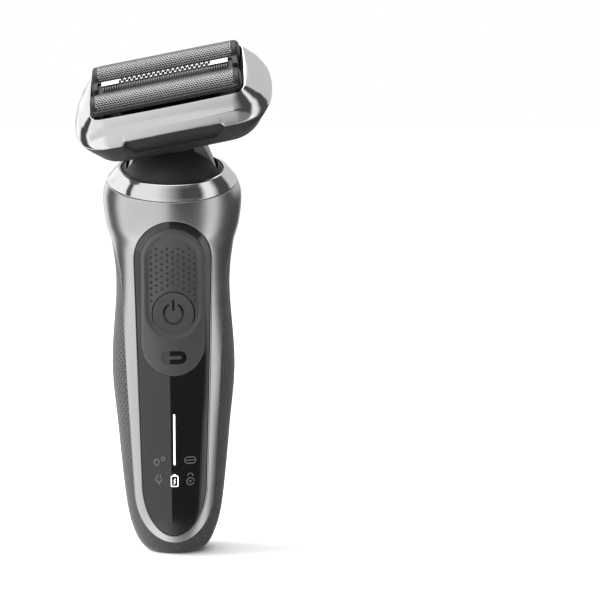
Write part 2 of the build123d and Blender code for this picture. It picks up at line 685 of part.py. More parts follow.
def foil_frame_at(centre):
    """Two rails along a foil, joined by its end caps."""
    with BuildPart() as frame:
        with BuildSketch(Plane.XY.offset(FRAME_FOOT)):
            RectangleRounded(2 * FRAME_HALF_LENGTH, 2 * FRAME_HALF_WIDTH, 2.6)
            Rectangle(2 * FOIL_HALF_LENGTH + GAP, 2 * FOIL_HALF_WIDTH + GAP, mode=Mode.SUBTRACT)
        extrude(amount=FRAME_TOP - FRAME_FOOT)
        for side in (-1, 1):
            with BuildSketch(Plane.YZ.offset(side * 22.22 - 0.88)):
                draw_arch(FOIL_HALF_WIDTH, FOIL_HEIGHT - 0.35, FRAME_FOOT - 2.0)
            extrude(amount=1.76)
    return frame.part.moved(Location((0, centre, 0)))


def foil_at(centre):
    """The arched shaving foil."""
    with BuildPart() as foil:
        with BuildSketch(Plane.YZ.offset(-FOIL_HALF_LENGTH)):
            draw_arch(FOIL_HALF_WIDTH, FOIL_HEIGHT, FRAME_FOOT + 0.1)
        extrude(amount=2 * FOIL_HALF_LENGTH)
        with BuildSketch(Plane.YZ.offset(-FOIL_HALF_LENGTH)):
            draw_arch(FOIL_HALF_WIDTH - FOIL_SKIN, FOIL_HEIGHT - FOIL_SKIN, FRAME_FOOT - 1)
        extrude(amount=2 * FOIL_HALF_LENGTH, mode=Mode.SUBTRACT)
    return foil.part.moved(Location((0, centre, 0)))


BLOCK_FOOT, BLADE_FOOT = 0.85, 1.5
CUTTER_HALF_LENGTH, BLADE_COUNT, BLADE_THICKNESS = 19.2, 25, 0.5
BLADE_HALF_WIDTH, BLADE_HEIGHT = 3.45, 2.45


def cutter_block_at(centre):
    """The plastic spine under a row of blades, with the drive pin's hole."""
    with BuildPart() as block:
        with Locations((0, 0, (BLOCK_FOOT + BLADE_FOOT) / 2)):
            Box(2 * CUTTER_HALF_LENGTH, 2 * BLADE_HALF_WIDTH - 0.6, BLADE_FOOT - BLOCK_FOOT)
        with BuildSketch(Plane.XY.offset(BLOCK_FOOT)):
            Circle(1.1)
        extrude(amount=3, mode=Mode.SUBTRACT)
    return block.part.moved(Location((0, centre, 0)))


def blades_at(centre):
    """The arched blades that sweep along the inside of a foil."""
    pitch = 2 * (CUTTER_HALF_LENGTH - BLADE_THICKNESS) / (BLADE_COUNT - 1)
    with BuildPart() as blades:
        for step in range(BLADE_COUNT):
            start = (step - (BLADE_COUNT - 1) / 2) * pitch - BLADE_THICKNESS / 2
            with BuildSketch(Plane.YZ.offset(start)):
                draw_arch(BLADE_HALF_WIDTH, BLADE_HEIGHT, BLADE_FOOT - 1.0)
                with Locations((0, BLADE_FOOT - 2.0)):
                    Rectangle(2 * FOIL_HALF_WIDTH, 4.0, mode=Mode.SUBTRACT)
            extrude(amount=BLADE_THICKNESS)
        with BuildSketch(Plane.XY.offset(BLADE_FOOT - 0.5)):
            Circle(1.1)
        extrude(amount=1.6, mode=Mode.SUBTRACT)
    return blades.part.moved(Location((0, centre, 0)))


for side_name, centre in (("front", -FOIL_PITCH), ("rear", FOIL_PITCH)):
    for piece_name, shape in (
        ("foil_frame", foil_frame_at(centre)),
        ("foil", foil_at(centre)),
        ("cutter_block", cutter_block_at(centre)),
        ("cutter_blades", blades_at(centre)),
    ):
        with BuildPart() as element:
            add(shape)
        save(element, f"{side_name}_{piece_name}", HEAD_PLACE)

TRIMMER_HALF_LENGTH, TRIMMER_HALF_WIDTH = 20.8, 2.6
TOOTH_PITCH, TOOTH_COUNT, TOOTH_WIDTH = 1.5, 19, 0.7
GUARD_CENTRE, GUARD_DEPTH, GUARD_FOOT, GUARD_TOP = -1.25, 1.3, 1.6, 2.3
GUARD_TIP = 2.8  # of the fixed comb's teeth
TRIM_CENTRE, TRIM_DEPTH, TRIM_FOOT, TRIM_TOP = 0.8, 2.2, 1.66, 2.3
TRIM_TIP = 3.0  # of the sliding blade's teeth
TRIM_PIN_RADIUS = 0.32
with BuildPart() as trimmer_frame:
    with BuildSketch(Plane.XY.offset(FRAME_FOOT)):
        RectangleRounded(45.0, 2 * TRIMMER_HALF_WIDTH, 0.6)
        with Locations((0, TRIM_CENTRE)):
            Rectangle(5.2, 1.26, mode=Mode.SUBTRACT)
    extrude(amount=0.75)
save(trimmer_frame, "trimmer_frame", HEAD_PLACE)

with BuildPart() as trimmer_guard:
    with Locations((0, GUARD_CENTRE, (GUARD_FOOT + GUARD_TOP) / 2)):
        Box(2 * TRIMMER_HALF_LENGTH, GUARD_DEPTH, GUARD_TOP - GUARD_FOOT)
    with Locations((0, GUARD_CENTRE, (GUARD_FOOT + GUARD_TIP) / 2)):
        with GridLocations(TOOTH_PITCH, 1, TOOTH_COUNT, 1):
            Box(TOOTH_WIDTH, GUARD_DEPTH, GUARD_TIP - GUARD_FOOT)
save(trimmer_guard, "trimmer_guard", HEAD_PLACE)

with BuildPart() as trimmer_blade:
    with Locations((0, TRIM_CENTRE, (TRIM_FOOT + TRIM_TOP) / 2)):
        Box(2 * (TRIMMER_HALF_LENGTH - STROKE), TRIM_DEPTH, TRIM_TOP - TRIM_FOOT)
    with Locations((0, TRIM_CENTRE, (TRIM_FOOT + TRIM_TIP) / 2)):
        with GridLocations(TOOTH_PITCH, 1, TOOTH_COUNT, 1):
            Box(TOOTH_WIDTH, TRIM_DEPTH, TRIM_TIP - TRIM_FOOT)
    with Locations((0, TRIM_CENTRE, 1.3)):
        Box(2.0, 0.9, 0.8)
    with BuildSketch(Plane.XY.offset(0.5)):
        with Locations((0, TRIM_CENTRE)):
            Circle(TRIM_PIN_RADIUS + GAP)
    extrude(amount=2.2, mode=Mode.SUBTRACT)
save(trimmer_blade, "trimmer_blade", HEAD_PLACE)

# ---------------------------------------------------------------- drive bridge
BRIDGE_FOOT, BRIDGE_TOP = -1.35, -0.6
FORK_FOOT = -FLEX_DROP - 1.5
with BuildPart() as drive_bridge:
    with BuildSketch(Plane.XY.offset(BRIDGE_FOOT)):
        Rectangle(8.0, 2 * FOIL_PITCH + 4.0)
        Rectangle(20.0, 6.0)
    extrude(amount=BRIDGE_TOP - BRIDGE_FOOT)
    with Locations((0, 0, (BRIDGE_FOOT + FORK_FOOT) / 2)):
        Box(5.2, 4.4, BRIDGE_FOOT - FORK_FOOT)
    with BuildSketch(Plane.XY.offset(FORK_FOOT)):
        Rectangle(2 * BALL_RADIUS + 0.2, 6.0)
    extrude(amount=3.9, mode=Mode.SUBTRACT)
    with BuildSketch(Plane.XY.offset(BRIDGE_TOP)):
        with Locations((0, -FOIL_PITCH), (0, FOIL_PITCH)):
            Circle(1.0)
    extrude(amount=1.9)
    with BuildSketch(Plane.XY.offset(BRIDGE_TOP)):
        with Locations((0, TRIM_CENTRE)):
            Circle(TRIM_PIN_RADIUS)
    extrude(amount=1.8)
save(drive_bridge, "drive_bridge", HEAD_PLACE)
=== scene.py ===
import json
import math

import bmesh
import bpy
import numpy as np
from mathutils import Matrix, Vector


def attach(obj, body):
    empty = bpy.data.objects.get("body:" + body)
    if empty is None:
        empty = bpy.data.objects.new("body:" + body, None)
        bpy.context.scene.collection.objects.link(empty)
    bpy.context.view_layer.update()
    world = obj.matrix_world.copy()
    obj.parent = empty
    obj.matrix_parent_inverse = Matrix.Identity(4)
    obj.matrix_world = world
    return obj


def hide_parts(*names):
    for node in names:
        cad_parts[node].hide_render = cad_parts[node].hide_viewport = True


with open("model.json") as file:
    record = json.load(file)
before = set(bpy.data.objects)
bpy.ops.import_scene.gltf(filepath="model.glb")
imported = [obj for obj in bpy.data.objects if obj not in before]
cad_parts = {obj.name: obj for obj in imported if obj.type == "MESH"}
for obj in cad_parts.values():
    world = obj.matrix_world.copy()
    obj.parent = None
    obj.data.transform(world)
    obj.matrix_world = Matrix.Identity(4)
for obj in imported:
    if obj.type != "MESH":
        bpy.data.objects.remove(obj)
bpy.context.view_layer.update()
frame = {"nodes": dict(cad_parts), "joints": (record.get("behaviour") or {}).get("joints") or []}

scene = bpy.context.scene
MM = 0.001


# ---------------------------------------------------------------- camera, first of all
CAMERA_ELEVATION = 7.0
CAMERA_DISTANCE = 620.0
LOOK_HEIGHT = 79.5  # the view's middle, up the shaver
LOOK_ASIDE = 40.0  # the view's middle lies this far to the shaver's left hand
FRAME_WIDTH = 189.3  # how wide the view is at the shaver


def make_camera():
    """A camera straight in front of the shaver, turned aside so that the shaver stands left of the middle."""
    lift = math.radians(CAMERA_ELEVATION)
    place = Vector((0.0, -math.cos(lift), math.sin(lift))) * CAMERA_DISTANCE + Vector((0, 0, LOOK_HEIGHT))
    target = Vector((LOOK_ASIDE, 0, LOOK_HEIGHT))
    data = bpy.data.cameras.new("camera")
    camera = bpy.data.objects.new("camera", data)
    scene.collection.objects.link(camera)
    camera.location = place * MM
    camera.rotation_euler = (target - place).to_track_quat("-Z", "Y").to_euler()
    data.lens = data.sensor_width * CAMERA_DISTANCE / FRAME_WIDTH
    data.clip_start = 0.01
    scene.camera = camera


make_camera()


# ---------------------------------------------------------------- material nodes
class Nodes:
    """Short calls for building one material's node tree."""

    def __init__(self, name, tree=None):
        if tree is None:
            self.material = bpy.data.materials.new(name)
            self.material.use_nodes = True
            tree = self.material.node_tree
            self.shader = tree.nodes["Principled BSDF"]
        self.tree = tree

    def add(self, kind, **settings):
        node = self.tree.nodes.new("ShaderNode" + kind)
        for key, value in settings.items():
            setattr(node, key, value)
        return node

    def link(self, source, target):
        self.tree.links.new(source, target)
        return target

    def set(self, **values):
        """Constant values, on the shader's own sockets."""
        for key, value in values.items():
            self.shader.inputs[key.replace("_", " ")].default_value = value

    def math(self, operation, a, b=None, c=None):
        node = self.add("Math", operation=operation)
        for socket, value in zip(node.inputs, (a, b, c)):
            if value is None:
                continue
            if isinstance(value, (int, float)):
                socket.default_value = value
            else:
                self.link(value, socket)
        return node.outputs[0]

    def times(self, first, *others):
        """The product of several values."""
        for other in others:
            first = self.math("MULTIPLY", first, other)
        return first

    def noise(self, scale, detail=3.0, stretch=(1, 1, 1), roughness=0.5):
        """Noise over the object's own coordinates, in metres."""
        coordinates = self.add("TexCoord").outputs["Object"]
        mapping = self.add("Mapping")
        mapping.inputs["Scale"].default_value = stretch
        self.link(coordinates, mapping.inputs["Vector"])
        texture = self.add("TexNoise")
        texture.inputs["Scale"].default_value = scale
        texture.inputs["Detail"].default_value = detail
        texture.inputs["Roughness"].default_value = roughness
        self.link(mapping.outputs[0], texture.inputs["Vector"])
        return texture.outputs["Fac"]

    def ramp(self, factor, low, high, start=0.3, end=0.7):
        """Runs from low to high as factor goes from start to end."""
        node = self.add("MapRange", interpolation_type="SMOOTHSTEP")
        self.link(factor, node.inputs["Value"])
        for socket, value in zip(("From Min", "From Max", "To Min", "To Max"), (start, end, low, high)):
            node.inputs[socket].default_value = value
        return node.outputs["Result"]

    def blend(self, factor, first, second):
        """A colour that runs from first to second."""
        node = self.add("Mix", data_type="RGBA")
        self.link(factor, node.inputs["Factor"])
        for socket, colour in ((node.inputs[6], first), (node.inputs[7], second)):
            if isinstance(colour, tuple):
                socket.default_value = (*colour, 1.0)
            else:
                self.link(colour, socket)
        return node.outputs[2]

    def colour(self, factor, first, second):
        """The base colour, which runs from first to second."""
        self.link(self.blend(factor, first, second), self.shader.inputs["Base Color"])

    def rough(self, factor, low, high):
        """The roughness, which runs from low to high."""
        self.link(self.ramp(factor, low, high), self.shader.inputs["Roughness"])

    def bump(self, height, distance, strength=1.0):
        node = self.add("Bump")
        node.inputs["Strength"].default_value = strength
        node.inputs["Distance"].default_value = distance
        self.link(height, node.inputs["Height"])
        self.link(node.outputs[0], self.shader.inputs["Normal"])

    def lattice(self, pitch_across, pitch_up, radius, softness=0.35):
        """A mask of staggered round dots over the UV map, which is in millimetres."""
        uv = self.add("UVMap").outputs[0]
        split = self.add("SeparateXYZ")
        self.link(uv, split.inputs[0])
        row = self.math("FLOOR", self.math("DIVIDE", split.outputs[1], pitch_up))
        odd = self.math("MODULO", self.math("ABSOLUTE", row), 2.0)
        shift = self.math("MULTIPLY", odd, 0.5)
        across = self.math("ADD", self.math("DIVIDE", split.outputs[0], pitch_across), shift)
        aside = self.math("MULTIPLY", self.math("SUBTRACT", self.math("FRACT", across), 0.5), pitch_across)
        up = self.math("FRACT", self.math("DIVIDE", split.outputs[1], pitch_up))
        above = self.math("MULTIPLY", self.math("SUBTRACT", up, 0.5), pitch_up)
        distance = self.math("SQRT", self.math("ADD", self.math("MULTIPLY", aside, aside),
                                               self.math("MULTIPLY", above, above)))
        return self.ramp(distance, 1.0, 0.0, radius * (1 - softness), radius * (1 + softness))


def chrome():
    """Bright plating with faint smudges in its polish."""
    n = Nodes("chrome_plating")
    n.set(Metallic=1.0, IOR=1.45)
    smudge = n.noise(60.0, 4.0)
    n.rough(smudge, 0.045, 0.10)
    n.colour(smudge, (0.80, 0.805, 0.82), (0.86, 0.86, 0.865))
    n.bump(n.noise(900.0, 2.0), 0.00002, 0.25)
    return n.material


def satin_silver():
    """Satin metal paint: fine flakes and a soft grain."""
    n = Nodes("satin_silver")
    n.set(Metallic=1.0, Coat_Weight=0.18, Coat_Roughness=0.22)
    flake = n.noise(9000.0, 2.0)
    cloud = n.noise(45.0, 3.0)
    n.rough(cloud, 0.25, 0.31)
    n.colour(flake, (0.66, 0.665, 0.68), (0.76, 0.76, 0.77))
    n.bump(flake, 0.00001, 0.1)
    return n.material


def gloss_black():
    """Deep polished lacquer with the slight waviness of moulding."""
    n = Nodes("gloss_black")
    n.set(IOR=1.85)
    cloud = n.noise(30.0, 2.0)
    n.rough(cloud, 0.03, 0.055)
    n.colour(cloud, (0.004, 0.004, 0.005), (0.007, 0.007, 0.008))
    n.bump(n.noise(55.0, 1.0), 0.00003, 0.12)
    return n.material


def matte_grey():
    """Spark-eroded dark grey plastic."""
    n = Nodes("matte_grey")
    n.set(IOR=1.48)
    grain = n.noise(5200.0, 3.0)
    cloud = n.noise(120.0, 3.0)
    n.colour(cloud, (0.048, 0.049, 0.052), (0.060, 0.061, 0.064))
    n.rough(grain, 0.36, 0.48)
    n.bump(grain, 0.00002, 0.5)
    return n.material


DIMPLE_ACROSS, DIMPLE_UP = 1.74, 1.93 / 2


def dimpled_grey():
    """The pad's plastic: the same grey, with painted shade that darkens the pits where its dimples are."""
    n = Nodes("dimpled_grey")
    n.set(IOR=1.48)
    grain = n.noise(5200.0, 3.0)
    cloud = n.noise(120.0, 3.0)
    base = n.blend(cloud, (0.048, 0.049, 0.052), (0.060, 0.061, 0.064))
    pit_shade = n.add("Attribute", attribute_name="pit_shade").outputs["Fac"]
    # painted shade: the dimples' hollows are coloured near-black
    n.colour(pit_shade, base, (0.012, 0.012, 0.013))
    n.rough(grain, 0.36, 0.48)
    n.bump(grain, 0.00002, 0.5)
    return n.material


def grip_rubber():
    """Dark soft rubber, moulded all over with staggered pits, each darkened with painted shade."""
    n = Nodes("grip_rubber")
    n.set(IOR=1.5, Sheen_Weight=0.15, Sheen_Roughness=0.5)
    pits = n.lattice(GRIP_PITCH, 0.98, 0.37, 0.15)
    cloud = n.noise(90.0, 3.0)
    base = n.blend(cloud, (0.038, 0.040, 0.043), (0.049, 0.051, 0.054))
    # painted shade: the pits are coloured near-black for the shade in their hollows; the bump below gives
    # their relief
    n.colour(pits, base, (0.006, 0.006, 0.007))
    n.rough(cloud, 0.46, 0.58)
    grain = n.noise(4200.0, 2.0)
    height = n.math("SUBTRACT", n.math("MULTIPLY", grain, 0.12), pits)
    n.bump(height, 0.00016, 0.9)
    return n.material


def dark_plastic(name="dark_plastic", shade=0.013, rough=0.32):
    """Near-black moulded plastic with a fine texture."""
    n = Nodes(name)
    n.set(IOR=1.5)
    grain = n.noise(3800.0, 3.0)
    cloud = n.noise(150.0, 3.0)
    n.colour(cloud, (shade, shade, shade * 1.06), (shade * 1.35, shade * 1.35, shade * 1.42))
    n.rough(grain, rough, rough + 0.12)
    n.bump(grain, 0.00002, 0.4)
    return n.material


def steel(name="ground_steel", shade=0.62, rough=0.2, stretch=(1, 1, 1)):
    """Ground steel with fine drawn lines."""
    n = Nodes(name)
    n.set(Metallic=1.0)
    lines = n.noise(2500.0, 3.0, stretch)
    n.colour(lines, (shade * 0.88,) * 3, (shade * 1.08,) * 3)
    n.rough(lines, rough, rough + 0.14)
    n.bump(lines, 0.00001, 0.4)
    return n.material


def glow():
    """The lit light guide: a bright glow, a little uneven."""
    n = Nodes("lit_guide")
    n.set(Roughness=0.2)
    cloud = n.noise(400.0, 2.0)
    n.colour(cloud, (0.86, 0.88, 0.92), (0.95, 0.96, 1.0))
    n.link(n.blend(cloud, (0.90, 0.93, 1.0), (1.0, 1.0, 1.0)), n.shader.inputs["Emission Color"])
    n.set(Emission_Strength=1.1)
    return n.material


def print_ink(name, shade):
    """Thin printed ink, a little uneven."""
    n = Nodes(name)
    n.set(Roughness=0.3)
    cloud = n.noise(900.0, 2.0)
    n.colour(cloud, (shade * 0.85,) * 3, (shade,) * 3)
    return n.material


def plain(name, low, high, rough=0.45, metallic=0.0, scale=300.0):
    """An inner piece's finish: two close tones and a varied roughness."""
    n = Nodes(name)
    n.set(Metallic=metallic)
    cloud = n.noise(scale, 3.0)
    n.colour(cloud, low, high)
    n.rough(cloud, rough, rough + 0.15)
    n.bump(n.noise(scale * 6, 2.0), 0.00003, 0.3)
    return n.material


# ---------------------------------------------------------------- the handle's form
NECK_LEAN = 18.0
NECK_FOOT = (-3.0, 122.0)
GRIP_DOTS = 56
GRIP_PITCH = 1.98


def neck_row(height, half_width, half_depth):
    """A section that stands across the neck's axis, as (y, z, lean, half width, half depth)."""
    lean = math.radians(NECK_LEAN)
    return (NECK_FOOT[0] - height * math.sin(lean), NECK_FOOT[1] + height * math.cos(lean), NECK_LEAN,
            half_width, half_depth)


NECK_ORIGIN = np.array([0.0, *NECK_FOOT])
NECK_RISE = np.array([0.0, -math.sin(math.radians(NECK_LEAN)), math.cos(math.radians(NECK_LEAN))])
NECK_BACK = np.array([0.0, NECK_RISE[2], -NECK_RISE[1]])
SEAM = -4.3
KEY_SECTIONS = np.array([
    (0.0, 0.0, 0.0, 8.5, 6.8),
    (0.1, 2.2, 0.0, 10.9, 8.7),
    (0.3, 6.0, 0.0, 12.9, 10.4),
    (0.5, 12.0, 0.0, 14.7, 11.9),
    (0.8, 22.0, 0.0, 16.1, 13.3),
    (1.2, 40.0, 0.0, 17.8, 14.8),
    (1.4, 60.0, 0.0, 19.45, 15.6),
    (1.0, 84.0, 2.0, 17.95, 14.6),
    (0.6, 97.0, 8.0, 18.9, 15.9),
    (0.1, 105.5, 14.0, 20.9, 18.3),
    neck_row(-9.0, 21.6, 20.0),
    neck_row(SEAM, 20.3, 19.2),
    neck_row(-1.8, 18.8, 17.7),
    neck_row(-0.4, 17.2, 16.0),
    neck_row(0.0, 16.5, 15.1),
])
SEAM_KEY = 11
TOP_KEY = len(KEY_SECTIONS) - 1


def section(t):
    """The handle's section at each t, counted in key sections from the tail: y, z, lean and half axes."""
    t = np.clip(np.asarray(t, float), 0, TOP_KEY)
    index = np.minimum(t.astype(int), TOP_KEY - 1)
    part = (t - index)[..., None]
    a, b, c, d = (KEY_SECTIONS[np.clip(index + step, 0, TOP_KEY)] for step in (-1, 0, 1, 2))
    row = b + 0.5 * part * (c - a + part * (2 * a - 5 * b + 4 * c - d + part * (3 * (b - c) + d - a)))
    return [row[..., column] for column in range(5)]


def on_handle(t, phi, inset=0.0):
    """Points on the handle's surface, in millimetres. phi is 0 at the front and grows towards +X."""
    y, z, lean, half_width, half_depth = section(t)
    lean = np.radians(lean)
    reach = (half_depth - inset) * np.cos(phi)
    x = (half_width - inset) * np.sin(phi)
    return np.stack([x, y - reach * np.cos(lean), z - reach * np.sin(lean)], -1)


def from_front(x, z):
    """The t and phi of the points on the handle's front that are seen at x and z."""
    x, z = np.broadcast_arrays(np.asarray(x, float), np.asarray(z, float))
    low, high = np.zeros(x.shape), np.full(x.shape, float(TOP_KEY))
    for _ in range(40):
        middle = (low + high) / 2
        _, level, lean, half_width, half_depth = section(middle)
        reach = half_depth * np.sqrt(np.clip(1 - (x / half_width) ** 2, 0, 1))
        below = level - reach * np.sin(np.radians(lean)) < z
        low, high = np.where(below, middle, low), np.where(below, high, middle)
    half_width = section(low)[3]
    return low, np.arcsin(np.clip(x / half_width, -1, 1))


def front_points(x, z, inset=0.0):
    t, phi = from_front(x, z)
    return on_handle(t, phi, inset)


# ---------------------------------------------------------------- mesh helpers
def make_piece(name, points, faces, material, body, sharp=32.0, uv=None):
    """A smooth-shaded mesh from points in millimetres that rides on a CAD body."""
    mesh = bpy.data.meshes.new(name)
    mesh.from_pydata((np.asarray(points) * MM).tolist(), [], faces)
    if uv is not None:
        layer = mesh.uv_layers.new(name="UVMap")
        corner = np.empty(len(mesh.loops), np.int32)
        mesh.loops.foreach_get("vertex_index", corner)
        layer.data.foreach_set("uv", np.asarray(uv, np.float32)[corner].ravel())
    work = bmesh.new()
    work.from_mesh(mesh)
    bmesh.ops.recalc_face_normals(work, faces=work.faces)
    work.to_mesh(mesh)
    work.free()
    mesh.shade_smooth()
    mesh.set_sharp_from_angle(angle=math.radians(sharp))
    mesh.materials.append(material)
    piece = bpy.data.objects.new(name, mesh)
    scene.collection.objects.link(piece)
    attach(piece, body)
    return piece


def stand_for(node):
    """The piece is shown in place of a CAD node, which is hidden."""
    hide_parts(node)


def ring_faces(ring_count, size, closed=True, first=0):
    """Quads between neighbouring rings of the same size."""
    faces = []
    for ring in range(ring_count - 1):
        start = first + ring * size
        for step in range(size if closed else size - 1):
            after = (step + 1) % size
            faces.append((start + step, start + after, start + size + after, start + size + step))
    return faces


def rings_piece(name, rings, material, body, cap_start=False, cap_end=False, sharp=32.0, uv=None, join=False):
    """A skin over closed rings. join closes the last ring onto the first, as in a tube."""
    rings = [np.asarray(ring) for ring in rings]
    size = len(rings[0])
    points = np.concatenate(rings)
    faces = ring_faces(len(rings), size)
    last = (len(rings) - 1) * size
    if join:
        for step in range(size):
            after = (step + 1) % size
            faces.append((last + step, last + after, after, step))
    if cap_start:
        faces.append(tuple(range(size)))
    if cap_end:
        faces.append(tuple(range(last, last + size)))
    return make_piece(name, points, faces, material, body, sharp, uv)


def resample(points, count):
    """count points evenly spaced along a polyline, both ends included."""
    points = np.asarray(points, float)
    length = np.concatenate([[0], np.cumsum(np.linalg.norm(np.diff(points, axis=0), axis=1))])
    where = np.linspace(0, length[-1], count)
    return np.stack([np.interp(where, length, points[:, axis]) for axis in range(points.shape[1])], -1)


def arc(centre, radius_x, radius_z, start, end, count=48):
    angles = np.radians(np.linspace(start, end, count))
    return np.stack([centre[0] + radius_x * np.cos(angles), centre[1] + radius_z * np.sin(angles)], -1)


# ---------------------------------------------------------------- outlines on the front
PANEL_TOP_CENTRE, PANEL_HALF_TOP, PANEL_HALF_FOOT = 93.9, 12.1, 10.2
PANEL_FOOT, PANEL_FOOT_CENTRE = 6.3, 23.3
PAD_CENTRE, PAD_HALF_WIDTH, PAD_LENGTH = 80.8, 9.85, 46.0
DISH_CENTRE, DISH_HALF_WIDTH, DISH_LENGTH, DISH_DEPTH = 85.8, 8.65, 33.4, 0.6
POWER_Z, POWER_RADIUS = 77.0, 6.9
FOOT_COUNT, SIDE_COUNT, TOP_COUNT = 90, 120, 90


def loop_of(foot, right, top, left):
    """One closed outline from its foot, right side, top and left side, counterclockwise."""
    parts = [resample(foot, FOOT_COUNT + 1)[:-1], resample(right, SIDE_COUNT + 1)[:-1],
             resample(top, TOP_COUNT + 1)[:-1], resample(left, SIDE_COUNT + 1)[:-1]]
    return np.concatenate(parts)


def panel_loop(grow=0.0):
    """The glossy panel: an elliptic foot, straight sides and a half-round top."""
    foot_half, top_half = PANEL_HALF_FOOT + grow, PANEL_HALF_TOP + grow
    foot = arc((0, PANEL_FOOT_CENTRE), foot_half, PANEL_FOOT_CENTRE - PANEL_FOOT + grow, 180, 360)
    top = arc((0, PANEL_TOP_CENTRE), top_half, top_half, 0, 180)
    return loop_of(foot, [foot[-1], top[0]], top, [top[-1], foot[0]])


def pill_loop(centre, half_width, length, grow=0.0):
    half_width, reach = half_width + grow, length / 2 - half_width
    foot = arc((0, centre - reach), half_width, half_width, 180, 360)
    top = arc((0, centre + reach), half_width, half_width, 0, 180)
    return loop_of(foot, [foot[-1], top[0]], top, [top[-1], foot[0]])


def circle_loop(centre, radius):
    """A circle whose points match those of the taller outlines round it."""
    return loop_of(arc(centre, radius, radius, 200, 340), arc(centre, radius, radius, -20, 20),
                   arc(centre, radius, radius, 20, 160), arc(centre, radius, radius, 160, 200))


SILVER_SIDE = np.array([(12.9, 21.0), (14.4, 48.0), (15.7, 74.0), (16.4, 88.0), (19.0, 99.5)])
SIDE_SEAM_Y = 2.0  # where the silver shell ends on the neck's sides
SPREAD = np.array([8.0, 18.0])  # brings t and phi to about the same lengths, so that points space evenly


def smooth_line(points, count=80):
    """A smooth curve through a few points, evenly sampled."""
    points = np.asarray(points, float)
    padded = np.vstack([2 * points[0] - points[1], points, 2 * points[-1] - points[-2]])
    curve = []
    for index in range(1, len(padded) - 2):
        a, b, c, d = padded[index - 1:index + 3]
        for part in np.linspace(0, 1, 24, endpoint=False):
            curve.append(b + 0.5 * part * (c - a + part * (2 * a - 5 * b + 4 * c - d
                                                           + part * (3 * (b - c) + d - a))))
    curve.append(points[-1])
    return resample(curve, count)


def neck_side(grow):
    """The silver shell's edge up the side of the neck, as t and phi, from under the shoulder to the seam."""
    t = np.linspace(9.15, SEAM_KEY - 0.02, 40)
    y, _, lean, _, half_depth = section(t)
    cosine = (y - SIDE_SEAM_Y) / (half_depth * np.cos(np.radians(lean)))
    return np.stack([t, np.arccos(np.clip(cosine, -1, 1)) + np.radians(grow * 3.0)], -1)


def silver_loop(grow=0.0):
    """The silver shell's outline, as t and phi: a band beside the panel that spreads over the whole neck."""
    foot_half = SILVER_SIDE[0][0] + grow
    foot = arc((0, SILVER_SIDE[0][1]), foot_half, 17.0 + grow, 180, 360, 90)
    foot = np.stack(from_front(foot[:, 0], foot[:, 1]), -1)
    side = smooth_line(SILVER_SIDE + (grow, 0))
    side = np.stack(from_front(side[:, 0], side[:, 1]), -1)
    neck = neck_side(grow)
    joined = smooth_line(np.vstack([side[::8], neck[4::5]]), 160)
    right = np.vstack([joined, neck[-1:] - (0.05 * max(-grow, 0) * 2, 0)])
    left = (right * (1, -1))[::-1]
    corner = right[-1]
    top = np.stack([np.full(60, corner[0]), np.linspace(corner[1], -corner[1], 60)], -1)
    return loop_of(foot * SPREAD, right * SPREAD, top * SPREAD, left * SPREAD) / SPREAD


def between_loops(outer, inner, parts):
    """Loops from outer to inner, both included, in parts steps."""
    return [outer + (inner - outer) * step / parts for step in range(parts + 1)]


# ---------------------------------------------------------------- handle pieces
rubber, silver, plating, lacquer = grip_rubber(), satin_silver(), chrome(), gloss_black()
pad_plastic, key_plastic, black_plastic = dimpled_grey(), matte_grey(), dark_plastic()


def inside_outline(x, y, outline):
    """Which points lie inside a closed outline."""
    inside = np.zeros(x.shape, bool)
    for (ax, ay), (bx, by) in zip(outline, np.roll(outline, -1, axis=0)):
        if ay == by:
            continue
        crosses = (ay > y) != (by > y)
        inside ^= crosses & (x < ax + (y - ay) * (bx - ax) / (by - ay))
    return inside


GRIP_COUNT = 241  # points round each of the grip's rings
SOCKET_HALF_AXES = (6.25, 3.95)


def make_grip():
    """The rubber skin: the whole handle under the silver shell, from the socket's mouth to the neck."""
    around = np.linspace(-math.pi, math.pi, GRIP_COUNT)
    inset = 0.12
    rings, uv = [], []
    socket = arc((0, 0), *SOCKET_HALF_AXES, -90, 270, GRIP_COUNT)
    height = 0.0
    top_level = SEAM_KEY - 0.02
    tail_levels = [0.0, 0.03, 0.07, 0.12, 0.2, 0.3, 0.4, 0.55, 0.7, 0.85]
    levels = [*tail_levels, *np.arange(1, SEAM_KEY, 0.1), top_level]
    for level in (1.2, 0.0):
        rings.append(np.column_stack([socket, np.full(GRIP_COUNT, level)]))
    before = None
    for level in levels:
        rings.append(on_handle(np.full(GRIP_COUNT, level), around, inset))
    rings.append(on_handle(np.full(GRIP_COUNT, top_level), around, 1.4))
    for ring in rings:
        if before is not None:
            height += float(np.linalg.norm((ring - before)[60::60], axis=1).mean())
        before = ring
        along = around / (2 * math.pi) * GRIP_DOTS * GRIP_PITCH
        uv.append(np.stack([along, np.full(GRIP_COUNT, height)], -1))
    hidden = np.zeros((len(rings), GRIP_COUNT), bool)
    level_grid, turn_grid = np.meshgrid(levels, around, indexing="ij")
    hidden[2:-1] = inside_outline(level_grid * SPREAD[0], turn_grid * SPREAD[1], silver_loop(-1.1) * SPREAD)
    hidden[-1] = hidden[-2]
    hidden = hidden.ravel()
    faces = ring_faces(len(rings), GRIP_COUNT, closed=False)
    faces = [face for face in faces if not hidden[list(face)].all()]
    piece = make_piece("grip_skin", np.concatenate(rings), faces, rubber, "handle", uv=np.concatenate(uv))
    stand_for("back_shell")


def edge_steps():
    """How far each ring of a rounded edge lies inside the outline, and how deep, from the outside in."""
    return [(0.0, 1.5), (0.0, 0.30), (0.03, 0.16), (0.10, 0.06), (0.22, 0.01), (0.36, 0.0)]


